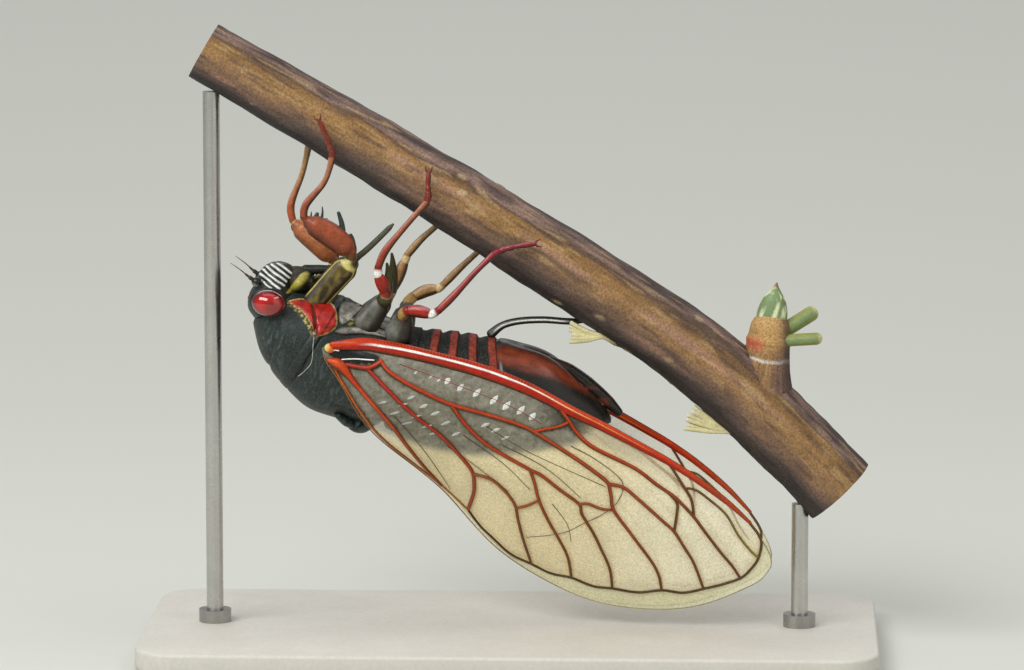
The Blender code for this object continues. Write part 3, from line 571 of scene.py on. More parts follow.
def sheet(corners, pitch):
    """Flat points and triangles that fill a smooth closed outline."""
    outline = curve(closed(corners), pitch * EDGE_STEP)[:-1]
    low, high = outline.min(0), outline.max(0)
    across = np.arange(low[0], high[0], pitch)
    rows = np.arange(low[1], high[1], pitch * ROW_STEP)
    grid = np.array([(x + pitch / 2 * (j % 2), z) for j, z in enumerate(rows) for x in across])
    grid = grid[within(grid, outline)]
    grid = grid[nearest(grid, [closed(outline)]) > EDGE_ROOM * pitch]
    flat = [Vector(p) for p in np.vstack([outline, grid]).tolist()]
    border = [(i, (i + 1) % len(outline)) for i in range(len(outline))]
    points, _, faces, _, _, _ = delaunay_2d_cdt(flat, border, [list(range(len(outline)))], 1, MERGE_WITHIN)
    return np.array(points), [list(face) for face in faces], outline


def skin(*grids):
    """A surface made of rings of points, to lay things on."""
    points, faces = [], []
    for rings in grids:
        faces += ring_faces(rings, len(points))
        points += rings.reshape(-1, 3).tolist()
    return BVHTree.FromPolygons(points, faces)


def drape(flat, surface, lift):
    """Points of the side view laid on the right side of a surface, then lifted off it."""
    ahead = Vector((0, 1, SEEN_RISE))
    found = []
    for x, z in flat:
        start = Vector((x, 0, z)) - ahead * VIEW_FROM
        hit = surface.ray_cast(start, ahead)[0] or surface.find_nearest(start + ahead * VIEW_DEPTH)[0]
        found.append(hit)
    return np.array(found) - np.array(ahead) * np.reshape(lift, (-1, 1))


def add_plate(piece, outline, surface, high, colour):
    """A raised plate over an outline of the side view, on both sides of the insect."""
    flat, faces, edge = sheet(outline, PLATE_PITCH)
    inner = nearest(flat, [closed(edge)])
    f = np.clip(inner / PLATE_EDGE, 0, 1)
    points = drape(flat, surface, (high + PLATE_SUNK) * np.sqrt(1 - (1 - f) ** 2) - PLATE_SUNK)
    tint = colour(flat, inner, points)
    for side, _ in SIDES:
        piece.add_sheet(points, faces, side, tint)


def add_line(piece, line, surface, half, tint, finish=0):
    """A thin cord laid along a line of the side view, on both sides of the insect."""
    path = drape(curve(line, CORD_PITCH), surface, CORD_LIFT * half)
    for side, _ in SIDES:
        piece.rings(tube(sided(path, side), half, half, 10), tint, finish)


# Body


# The tail's two lobes end short of the sheath between them
TAIL_SECTIONS = BODY_SECTIONS[:13] + (
    ((-17.45, 0.4), (-16.4, -3.05), 1.9),
    ((-18.45, -0.45), (-17.95, -2.15), 1.2),
    ((-19.0, -0.92), (-18.9, -1.3), 0.4),
)
LOBE_FRONT = (
    (5.36, -2.78), (5.0, -3.07), (4.48, -3.31), (3.83, -3.37), (3.54, -3.0), (3.18, -2.36),
    (2.72, -1.15), (3.29, -1.73), (4.05, -2.33), (4.71, -2.55),
)
LOBE_REAR = (
    (3.76, -3.39), (3.05, -3.48), (2.51, -3.64), (2.05, -3.47), (1.7, -3.02), (1.43, -2.2),
    (1.59, -1.7), (2.05, -1.24), (2.58, -1.02), (2.88, -1.7), (3.22, -2.5), (3.54, -3.0),
)
LOBE_PARTING = ((3.8, -3.4), (3.54, -3.0), (3.2, -2.4), (2.65, -1.05))
COLLAR_SEAM = ((5.26, -2.69), (4.62, -2.51), (4.02, -2.2), (3.34, -1.64), (2.71, -0.97))
COLLAR_RIM = ((2.77, -0.91), (2.62, -0.14), (2.48, 0.5), (2.49, 1.1), (2.93, 1.9), (3.1, 2.09))
SIDE_PLATES = (
    ((1.77, -3.89), (1.05, -4.22), (0.14, -4.67), (-0.04, -4.04), (0.33, -3.26), (0.61, -2.66),
     (1.08, -2.26), (1.42, -2.43), (1.67, -3.17)),
    ((0.01, -4.74), (-0.74, -5.22), (-1.57, -5.39), (-1.81, -5.08), (-1.29, -4.56), (-0.68, -3.86),
     (-0.01, -3.1), (0.34, -2.78), (0.18, -3.23), (-0.12, -3.99)),
    ((-1.04, -3.89), (-1.52, -4.55), (-2.05, -5.0), (-2.48, -4.53), (-2.76, -3.79), (-2.73, -2.88),
     (-2.19, -2.69), (-1.51, -2.75), (-1.07, -3.0), (-0.93, -3.48)),
    ((1.64, -1.62), (1.31, -2.01), (0.66, -2.35), (-0.02, -2.54), (-0.73, -2.64), (-1.62, -2.6),
     (-2.38, -2.52), (-2.16, -2.2), (-0.99, -2.1), (0.05, -1.85), (0.92, -1.55)),
    ((-2.95, -2.87), (-2.98, -3.55), (-3.5, -3.26), (-3.85, -2.83), (-3.49, -2.54), (-3.04, -2.56)),
)
SIDE_SEAM = ((0.66, -2.57), (0.14, -3.1), (-0.55, -3.78), (-1.22, -4.54), (-1.75, -5.03))
SIDE_HAIR = ((-0.68, -3.99), (-1.2, -4.45), (-1.75, -4.88))
TAIL_GLOW = (
    (-9.3, -4.0), (-10.4, -4.38), (-12.2, -4.42), (-14.47, -4.08), (-16.51, -3.22), (-18.1, -2.05),
    (-16.65, -2.15), (-14.29, -2.45), (-11.67, -2.45), (-9.6, -2.7),
)
TAIL_PARTING = ((-16.0, -3.2), (-16.94, -2.71), (-17.55, -2.37), (-18.1, -2.05))
SHEATH = (
    (-13.6, 0, -4.05), (-15.0, 0, -3.74), (-16.4, 0, -3.22), (-17.8, 0, -2.6), (-18.9, 0, -2.02),
    (-19.32, 0, -1.78),
)
SHEATH_HALF = ((0, 0.25), (0.25, 0.46), (0.5, 0.52), (0.85, 0.44), (1, 0.3))
OVIPOSITOR = (
    (-9.1, 0, -4.6), (-9.72, 0, -5.45), (-10.81, 0, -6.1), (-12.4, 0, -6.65), (-13.9, 0, -6.98),
    (-15.05, 0, -7.3),
)
OVIPOSITOR_HALF = ((0, 0.34), (0.15, 0.27), (0.9, 0.24), (1, 0.12))
# The hub of the raised cross on the back, and where its arms end on the left side
CROSS = (-1.85, 0, 4.15)
CROSS_RADII = (0.95, 0.95, 0.74)
CROSS_ARMS = ((-0.3, 1.7, 3.75), (-2.85, 1.7, 3.45))
# Stretches of the body: where each begins and ends, its rings and the points in each ring
COLLAR = (0.0, 3.06, 120, 220)
THORAX = (2.9, 7.05, 170, 200)
ABDOMEN = (6.95, 10.3, 230, 200)
PYGOFER = (10.2, 15.0, 180, 200)
# Rows of dashes of painted highlight on the abdomen: how high up its side each lies, and how far it is
# shifted
ABDOMEN_DASHES = ((-0.2, 0.0), (0.12, 0.35), (0.42, 0.1))


def body_rings(start, end, rows, sides, shape, sections=BODY_SECTIONS):
    """A stretch of the body, raised or sunk by shape(t, turn), for sections t and turns round it."""
    t = np.linspace(start, end, rows)[:, None] * np.ones(sides)
    turn = np.ones(rows)[:, None] * turns(sides)
    back, belly, half = (hermite(column, t) for column in zip(*sections))
    grow = shape(t, turn)
    span = back - belly
    length = np.linalg.norm(span, axis=-1)
    up = span / length[..., None]
    flat = (back + belly) / 2 + up * ((length / 2 + grow) * np.sin(turn))[..., None]
    points = np.stack([flat[..., 0], (half + grow) * np.cos(turn), flat[..., 1]], axis=-1)
    return points, t, turn


def pronotum_shape(t, turn):
    """The collar's rim at the rear and the two slanting grooves on each side."""
    back = np.sin(turn)
    low = 1 - 0.7 * smooth(0.45, 0.85, back)
    rim = (0.05 * window(2.62, 3.1, 0.12, t) - 0.05 * window(2.48, 2.58, 0.05, t)) * low
    edge = -0.45 * smooth(0.3, 0.0, t) - 0.16 * smooth(2.92, 3.05, t) * low
    slant = np.abs(t - 1.0 - 0.8 * back)
    groove = -0.1 * peak(slant, 0.12) * smooth(-0.4, 0.2, back)
    middle = 0.05 * peak(np.cos(turn), 0.1) * smooth(0, 0.6, back)
    return rim + edge + groove + middle


def thorax_shape(t, turn):
    """The great middle plate of the back, with its faint long furrows and a groove round it."""
    back = np.sin(turn)
    side = np.abs(np.cos(turn))
    edge = -0.16 * smooth(3.12, 2.98, t) * (1 - 0.7 * smooth(0.45, 0.85, back))
    edge = edge - 0.4 * smooth(6.85, 7.05, t)
    furrow = -0.05 * peak(side - 0.28, 0.05) * smooth(0.2, 0.7, back) * smooth(5.5, 4, t)
    rim = -0.12 * peak(side - 0.93 + 0.1 * (t - 3), 0.035) * smooth(-0.1, 0.2, back)
    sunk = -0.25 * window(5.0, 6.9, 0.25, t) * window(0.22, 0.75, 0.12, side) * smooth(0.2, 0.6, back)
    return edge + furrow + rim + sunk - 0.1 * smooth(-0.3, -0.5, back) * smooth(3.1, 3.6, t)


def segment_place(t):
    """Which segment of the abdomen t lies in, and how far through it."""
    place = (t - FIRST_SEGMENT) / (PYGOFER_START - FIRST_SEGMENT) * SEGMENTS
    return np.floor(place), place - np.floor(place)


def abdomen_shape(t, turn):
    """Segments that overlap like roof tiles, each rim standing over the next one's front."""
    _, f = segment_place(t)
    tile = -0.18 + 0.21 * smooth(0.0, 0.5, f) - 0.19 * smooth(0.9, 1.0, f)
    return tile - 0.3 * smooth(0.2, 0.0, t - WAIST)


def pygofer_shape(t, turn):
    """The tail, parted along the belly into two lobes."""
    belly = -np.sin(turn)
    side = np.abs(np.cos(turn))
    parted = peak(side, 0.2) * smooth(0.2, 0.6, belly)
    lobe = 0.08 * peak(side - 0.4, 0.16) * smooth(0.2, 0.6, belly)
    near = 1 - smooth(14.5, 15.0, t)
    return (lobe - 0.7 * parted) * smooth(10.6, 11.6, t) * near - 0.1 * smooth(10.45, 10.3, t)


def strokes(points):
    """Short upright brush strokes of painted sheen, from 0 to 1."""
    return smooth(0.0, 0.45, grain(points * (1, 0.3, 0.2), 0.14))


def pronotum_tint(points, t, turn):
    """Blue-black with paler strokes of painted sheen, darker towards both ends and with painted shade
    towards the back's ridge, and an ochre seam beside the red plates.
    """
    back = np.sin(turn)
    sheen_field = window(0.5, 2.3, 0.5, t) * smooth(-0.3, 0.15, back) * (0.6 + 0.4 * grain(points, 1.6))
    tint = mix(NIGHT, SHEEN_GREY, 0.42 * strokes(points) * sheen_field)
    tint = mix(tint, INK, 0.5 * smooth(2.4, 2.9, t) + 0.3 * smooth(0.7, 0.2, t))
    # Painted shade: darker towards the ridge of the back
    tint = tint * (1 - 0.55 * smooth(0.55, 0.95, back))[..., None]
    speck = smooth(-0.1, 0.25, grain(points, 0.16))
    seam = along_line(points, COLLAR_SEAM, 0.05, 0.22)
    return mix(tint, mix(UMBER, LEMON, 0.8 * speck), 0.85 * seam * (0.4 + 0.6 * speck))


def thorax_tint(points, t, turn):
    """Blue-black on the back with a few paler strokes of painted sheen and painted shade towards its ridge,
    nearly black between the side plates.
    """
    back = np.sin(turn)
    sheen_field = window(3.3, 6.2, 0.4, t) * cloud(points, 1.4)
    tint = mix(NIGHT, SHEEN_GREY, 0.3 * strokes(points) * sheen_field)
    below = smooth(-0.2, -0.45, back)
    # Nearly black below, and darker towards the ridge of the back as painted shade
    tint = mix(tint, INK, 0.8 * below) * (1 - 0.5 * smooth(0.6, 0.95, back))[..., None]
    return mix(tint, OLIVE, 0.75 * along_line(points, SIDE_SEAM, 0.12, 0.1) * below)


def abdomen_tint(points, t, turn):
    """Black segments with brick-red rims below, and rows of white dashes of painted highlight up the sides.
    """
    back = np.sin(turn)
    segment, f = segment_place(t)
    tint = mix(INK, SOOT, cloud(points, 0.6))
    wave = 0.05 * grain(points, 0.7)
    band = window(0.56, 0.94, 0.05, f + wave) * smooth(-0.15, -0.5, back) * (segment >= 1)
    brick = mix(srgb(172, 70, 48), srgb(108, 40, 28), cloud(points * (1, 1, 0.3), 0.25))
    tint = mix(tint, brick, 0.92 * band)
    for row, shift in ABDOMEN_DASHES:
        step = (t * 2.0 + shift) % 1.0
        slant = back - row - 0.1 * (step - 0.5)
        highlight_dash = window(0.34, 0.66, 0.1, step) * window(-0.07, 0.07, 0.04, slant)
        tint = mix(tint, CHALK, 0.6 * highlight_dash * window(7.6, 10.0, 0.2, t))
    return tint


def pygofer_tint(points):
    """Nearly black with a long red-brown glow on each side, darker again in fine streaks."""
    glow = painted(points, TAIL_GLOW, 0.8)
    streak = cloud(points * (0.25, 1, 1), 0.25)
    return mix(SOOT, mix(srgb(156, 66, 32), srgb(74, 28, 14), 0.8 * streak), 0.92 * glow)


def lobe_tint(flat, inner, points):
    """Red with darker clouds, and a pale yellow hem that leaves out the parting."""
    patch = cloud(points, 0.45)
    parting = nearest(flat, [np.array(LOBE_PARTING)])
    tint = mix(srgb(172, 34, 24), srgb(112, 20, 16), 0.75 * smooth(0.4, 0.75, patch))
    tint = mix(tint, BLOOD, 0.8 * smooth(0.16, 0.03, parting))
    return mix(tint, LEMON, 0.95 * smooth(0.13, 0.06, inner) * smooth(0.12, 0.25, parting))


def plate_tint(flat, inner, points):
    """Velvet grey, paler in the middle, with a black edge."""
    patch = cloud(points, 0.5)
    tint = mix(VELVET, ASH, 0.25 + 0.7 * smooth(0.3, 0.75, patch))
    return mix(tint, INK, 0.9 * smooth(0.24, 0.04, inner))


def make_body():
    """Collar, thorax and abdomen, as a run of overlapping plates."""
    collar, t, turn = body_rings(*COLLAR, pronotum_shape)
    thorax, thorax_t, thorax_turn = body_rings(*THORAX, thorax_shape)
    surface = skin(collar, thorax)
    piece = Piece()
    piece.rings(collar, pronotum_tint(collar, t, turn))
    for outline in (LOBE_FRONT, LOBE_REAR):
        add_plate(piece, outline, surface, 0.26, lobe_tint)
    add_line(piece, COLLAR_RIM, surface, 0.03, ASH, 1)
    piece.make("pronotum_plate", ["shell", "gloss"], ["pronotum"])
    piece = Piece()
    piece.rings(thorax, thorax_tint(thorax, thorax_t, thorax_turn))
    for outline in SIDE_PLATES:
        add_plate(piece, outline, surface, 0.22, plate_tint)
    add_line(piece, SIDE_HAIR, surface, 0.05, CHALK, 1)
    add_cross(piece)
    piece.make("thorax_plate", ["shell", "velvet"], ["thorax"])
    piece = Piece()
    rings, t, turn = body_rings(*ABDOMEN, abdomen_shape)
    piece.rings(rings, abdomen_tint(rings, t, turn))
    piece.make("abdomen_rings", ["velvet"], ["abdomen"])


def make_tail():
    """The tail's two lobes and the blunt sheath that lies between them."""
    piece = Piece()
    rings, _, _ = body_rings(*PYGOFER, pygofer_shape, TAIL_SECTIONS)
    piece.rings(rings, pygofer_tint(rings))
    add_line(piece, TAIL_PARTING, skin(rings), 0.035, CHALK)
    path = curve(SHEATH, 0.1)
    half = widths(SHEATH_HALF, path)
    sheath = tube(path, half, half, 48)
    streak = smooth(0.2, 0.6, grain(sheath * (0.3, 1, 1), 0.4))
    piece.rings(sheath, mix(SOOT, CHESTNUT, 0.25 * streak))
    piece.make("pygofer_lobes", ["gloss"], ["pygofer"])


def add_cross(piece):
    """The raised cross at the rear of the back, with strokes of painted sheen."""
    parts = [ball(CROSS, CROSS_RADII, 4.0, 48, 30)]
    for side, _ in SIDES:
        for end in CROSS_ARMS:
            x, y, z = sided(end, side)
            path = curve((CROSS, ((x + CROSS[0]) / 2, y / 2, CROSS[2] + 0.05), (x, y, z)), 0.1)
            f = shares(path)
            parts.append(tube(path, 0.55 - 0.2 * f, 0.42 - 0.17 * f, 24))
    for rings in parts:
        piece.rings(rings, mix(NIGHT, SHEEN_GREY, 0.3 * strokes(rings)))


def make_ovipositor():
    """The black egg-laying blade, curved into the twig, with a painted highlight along its groove."""
    piece = Piece()
    path = curve(OVIPOSITOR, 0.1)
    wide = widths(OVIPOSITOR_HALF, path)
    rings = tube(path, wide * 0.8, wide, 32)
    along, turn = places(rings)
    # Painted highlight: a pale line along the groove of the blade
    groove = window(-0.15, 0.3, 0.08, np.sin(turn)) * window(0.1, 0.8, 0.08, along)
    piece.rings(rings, mix(SOOT, CHALK, 0.95 * groove))
    piece.make("ovipositor_blade", ["gloss"], ["ovipositor"])


# Head


FACE_STRIPED = (
    (6.88, -5.29), (7.46, -4.97), (7.83, -4.45), (7.83, -3.93), (7.52, -3.64), (6.84, -3.32),
    (6.05, -3.4), (5.76, -3.67), (5.63, -4.27), (5.33, -4.76), (5.96, -5.14), (6.52, -5.31),
)
LORUM = (
    (5.64, -3.25), (5.5, -3.78), (5.25, -4.45), (4.91, -5.11), (4.4, -5.37), (3.98, -5.19),
    (4.0, -4.74), (4.43, -4.17), (4.82, -3.72), (5.29, -3.32),
)
LORUM_LIGHT = ((5.52, -3.45), (5.15, -4.2), (4.85, -4.87))
CLYPEUS = ((5.25, 0, -4.8), (1.08, 0.86, 0.64), 12.0)
CHEEK = ((4.9, 0, -4.5), (1.0, 1.75, 0.98), 0.0)
LEDGE = ((7.8, 1.55, -3.75), (0.36, 0.34, 0.36), 0.0)
# The three small eyes on the brow
LENSES = ((7.95, 0, -2.3), (7.6, 0.65, -1.75), (7.6, -0.65, -1.75))
LENS_RADII = (0.24, 0.24, 0.24)
EYE_RIM_HALF = 0.1
EYE_RIM_INSET = 0.14
ANTENNA = ((8.05, 1.62, -3.85), (8.5, 1.68, -4.02), (9.1, 1.78, -4.3), (9.9, 1.85, -4.58))
ANTENNA_HALF = ((0, 0.15), (0.16, 0.15), (0.2, 0.09), (0.34, 0.08), (0.38, 0.045), (1, 0.02))
BEAK = ((4.75, 0, -5.3), (4.0, 0, -5.58), (2.6, 0, -6.12), (1.22, 0, -7.6), (-0.3, 0, -10.2))
BEAK_HALF = (
    (0, 0.4), (0.1, 0.34), (0.45, 0.26), (0.5, 0.3), (0.55, 0.23), (0.95, 0.19), (1, 0.08),
)
# How far the face's white ridges stand up, how wide a ridge and its groove are, and where one lies
RIDGE_HIGH = 0.05
RIDGE_PITCH = 0.345
RIDGE_AT = 2.497


def stripes(points):
    """The face's slanting white ridges, 1 on a ridge and 0 between or away from them."""
    flat = seen(points)
    slant = (-0.356 * flat[:, 0] - 0.934 * flat[:, 1]).reshape(points.shape[:-1])
    slant = slant + 0.06 * grain(points, 0.7)
    wave = 0.5 + 0.5 * np.cos(2 * np.pi * (slant - RIDGE_AT) / RIDGE_PITCH)
    return wave * painted(points, FACE_STRIPED, 0.12)


def lorum_tint(flat, inner, points):
    """Yellow along the side next to the face, and dark olive behind."""
    light = smooth(0.62, 0.25, nearest(flat, [np.array(LORUM_LIGHT)]))
    tint = mix(srgb(50, 44, 18), srgb(196, 186, 84), light * (0.8 + 0.2 * grain(points, 0.3)))
    return mix(tint, INK, 0.85 * smooth(0.1, 0.03, inner))


def head_rings():
    """The head's capsule, from its sections along an axis that is pitched down."""
    ahead, up = tilted(HEAD_PITCH)
    table = hermite(HEAD_SECTIONS, np.linspace(0, len(HEAD_SECTIONS) - 1, 110))
    reach, wide, above, below = (column[:, None] for column in table.T)
    turn = turns(240)
    high = np.where(np.sin(turn) > 0, above, below)
    return (
        np.array(HEAD_CENTRE)
        + ahead * reach[..., None]
        + np.array((0, 1, 0)) * (wide * np.cos(turn))[..., None]
        + up * (high * np.sin(turn))[..., None]
    )


def make_head():
    """The capsule, the striped face, the plates behind it and what stands on them."""
    piece = Piece()
    capsule = head_rings()
    face = ball(FACE_CENTRE, FACE_RADII, FACE_PITCH, 200, 140)
    clypeus = ball(*CLYPEUS, 64, 40)
    cheek = ball(*CHEEK, 96, 60)
    for rings, finish in ((capsule, 0), (face, 1)):
        ridge = stripes(rings)
        middle = rings.mean((0, 1))
        shaped = rings + unit(rings - middle) * (RIDGE_HIGH * ridge)[..., None]
        tint = mix(INK, NIGHT, cloud(rings, 0.8))
        piece.rings(shaped, mix(tint, CHALK, 0.92 * smooth(0.45, 0.8, ridge)), finish)
    for rings in (clypeus, cheek):
        piece.rings(rings, mix(INK, EARTH, cloud(rings, 0.6)))
    add_plate(piece, LORUM, skin(capsule, face, cheek), 0.22, lorum_tint)
    for side, _ in SIDES:
        ledge = sided(ball(*LEDGE, 32, 20), side)
        piece.rings(ledge, mix(INK, ASH, 0.8 * smooth(-3.75, -3.45, ledge[..., 2])), 1)
        piece.rings(sided(eye_rim(), side), srgb(10, 8, 8), 1)
    for centre in LENSES:
        piece.rings(ball(centre, LENS_RADII, 0, 24, 16), CRIMSON, 1)
    piece.make("head_capsule", ["shell", "gloss"], ["head"])


def eye_rim():
    """A soft ring round the root of the left eye."""
    ahead, up = tilted(EYE_PITCH)
    turn = np.append(turns(96), 2 * np.pi)[:, None]
    centre = np.array(EYE_CENTRE) - (0, EYE_RIM_INSET, 0)
    path = centre + ahead * EYE_RADII[0] * np.cos(turn) + up * EYE_RADII[2] * np.sin(turn)
    return tube(path, EYE_RIM_HALF, EYE_RIM_HALF, 12, capped=False)


def make_eye(side, name):
    """A bulging red eye, deeper red towards its rim, with a painted shadow below the middle."""
    ahead, up = tilted(EYE_PITCH)
    piece = Piece()
    eye = sided(ball(EYE_CENTRE, EYE_RADII, EYE_PITCH, 96, 64), side)
    off = eye - sided(EYE_CENTRE, side)
    out = np.hypot(off @ ahead / EYE_RADII[0], off @ up / EYE_RADII[2])
    tint = mix(srgb(184, 18, 8), srgb(84, 10, 8), smooth(0.55, 0.96, out))
    # Painted shadow: deeper red below the middle
    painted_core_shadow = smooth(0.75, 0.2, np.hypot(off @ ahead / 1.15 + 0.35, off @ up / 0.92 - 0.15))
    piece.rings(eye, mix(tint, BLOOD, 0.75 * painted_core_shadow))
    piece.make(f"eye_{name}_dome", ["eye"], [f"eye_{name}"])


def make_antenna(side, name):
    """Two thick root joints and a bristle that thins to a hair."""
    piece = Piece()
    path = curve(sided(ANTENNA, side), 0.04)
    thick = widths(ANTENNA_HALF, path)
    rings = tube(path, thick, thick, 16)
    piece.rings(rings, mix(INK, srgb(110, 56, 40), places(rings)[0]))
    piece.make(f"antenna_{name}_bristle", ["gloss"], [f"antenna_{name}"])


def make_beak():
    """The sucking beak in its jointed sheath, from under the face to behind the fore legs."""
    piece = Piece()
    path = curve(BEAK, 0.08)
    thick = widths(BEAK_HALF, path)
    rings = tube(path, thick * 0.9, thick, 24)
    along, turn = places(rings)
    tint = mix(SLATE, srgb(104, 96, 62), 0.3 + 0.3 * np.cos(2 * turn))
    piece.rings(rings, mix(tint, INK, 0.9 * smooth(0.55, 0.4, along)))
    piece.make("beak_sheath", ["leg"], ["beak"])


# Wings

# For each x: how far the sheet stands off the middle along its front and rear edges, how far it bulges
# between them, how far its front curls in round the body, and how high those edges are
WING_FRONT_OUT = ((-33, 1.2), (-30, 2.3), (-26, 3.4), (-20, 4.3), (-14, 4.8), (-9, 4.9),
                  (-6, 4.9), (-3, 4.9), (-1.5, 4.95), (1.4, 4.8), (2.2, 4.75))
WING_REAR_OUT = ((-33, 0.7), (-12, 0.6), (-9, 0.9), (-6, 2.0), (-3, 3.6), (-1.5, 4.2),
                 (1.4, 4.75), (2.2, 4.75))
WING_BULGE = ((-33, 0.1), (-30, 0.3), (-26, 0.6), (-20, 1.1), (-14, 1.8), (-9, 2.1),
              (-6, 2.1), (-3, 1.35), (-1.5, 0.65), (1.4, 0.0), (2.2, 0.0))
WING_CURL = ((-33, 0.0), (-26, 0.1), (-20, 0.45), (-14, 0.85), (-9, 1.0), (-3, 1.0), (-1.5, 0.65),
             (1.4, 0.0), (2.2, 0.0))
WING_CURL_SHARE = 0.3
WING_FRONT_HIGH = ((-33, 3.0), (-29, 1.2), (-24, -0.35), (-19, -1.6), (-15, -2.4), (-12, -2.75),
                   (-9, -2.9), (-6, -2.9), (-1.8, -2.7), (1.4, -2.0), (2.2, -1.4))
WING_REAR_HIGH = ((-33, 9.0), (-28.3, 10.5), (-22, 11.7), (-17.3, 11.1), (-14, 10.0), (-11.5, 8.5),
                  (-8.8, 6.9), (-6.2, 5.6), (-3, 4.2), (-1.5, 3.0), (0, 1.5), (2.2, -0.2))
HIND_WING_INSET = 0.94

COSTA = (
    (1.35, -1.45), (-0.6, -2.13), (-2.2, -2.33), (-4.2, -2.46), (-6.5, -2.54), (-8.7, -2.58), (-11.0, -2.46),
    (-13.3, -2.18), (-16.1, -1.6), (-18.6, -1.14), (-21.8, -0.43), (-23.7, 0.04), (-25.8, 0.71),
    (-28.4, 1.78), (-30.4, 2.86),
)
COSTA_HALF_WIDTH = (
    (0.0, 0.3), (0.05, 0.44), (0.15, 0.62), (0.23, 0.6), (0.35, 0.55), (0.48, 0.44), (0.56, 0.38),
    (0.65, 0.31), (0.8, 0.25), (0.93, 0.2), (1.0, 0.12),
)
FORE_WING_OUTLINE = ((2.0, -1.0), (1.9, -1.2)) + COSTA + (
    (-31.6, 3.9), (-32.6, 5.1), (-32.6, 6.1), (-31.7, 7.4), (-28.3, 10.0), (-24.1, 11.4), (-19.7, 11.6),
    (-14.0, 10.1), (-8.8, 6.9), (-4.9, 4.9), (-2.2, 3.2), (0.1, 0.9), (1.4, -0.2),
)
HIND_WING_OUTLINE = (
    (-2.4, -1.0), (-5.0, -1.3), (-10.0, -1.2), (-16.0, -0.1), (-19.0, 1.1), (-20.8, 2.2), (-21.1, 3.5),
    (-20.4, 4.9), (-19.0, 6.3), (-17.8, 7.4), (-15.5, 8.3), (-12.6, 7.8), (-9.0, 5.4), (-5.0, 2.6),
    (-2.8, 0.9), (-2.2, -0.2),
)
FLAME = srgb(178, 56, 20)
BRICK = srgb(164, 66, 28)
PEAT = srgb(112, 68, 34)

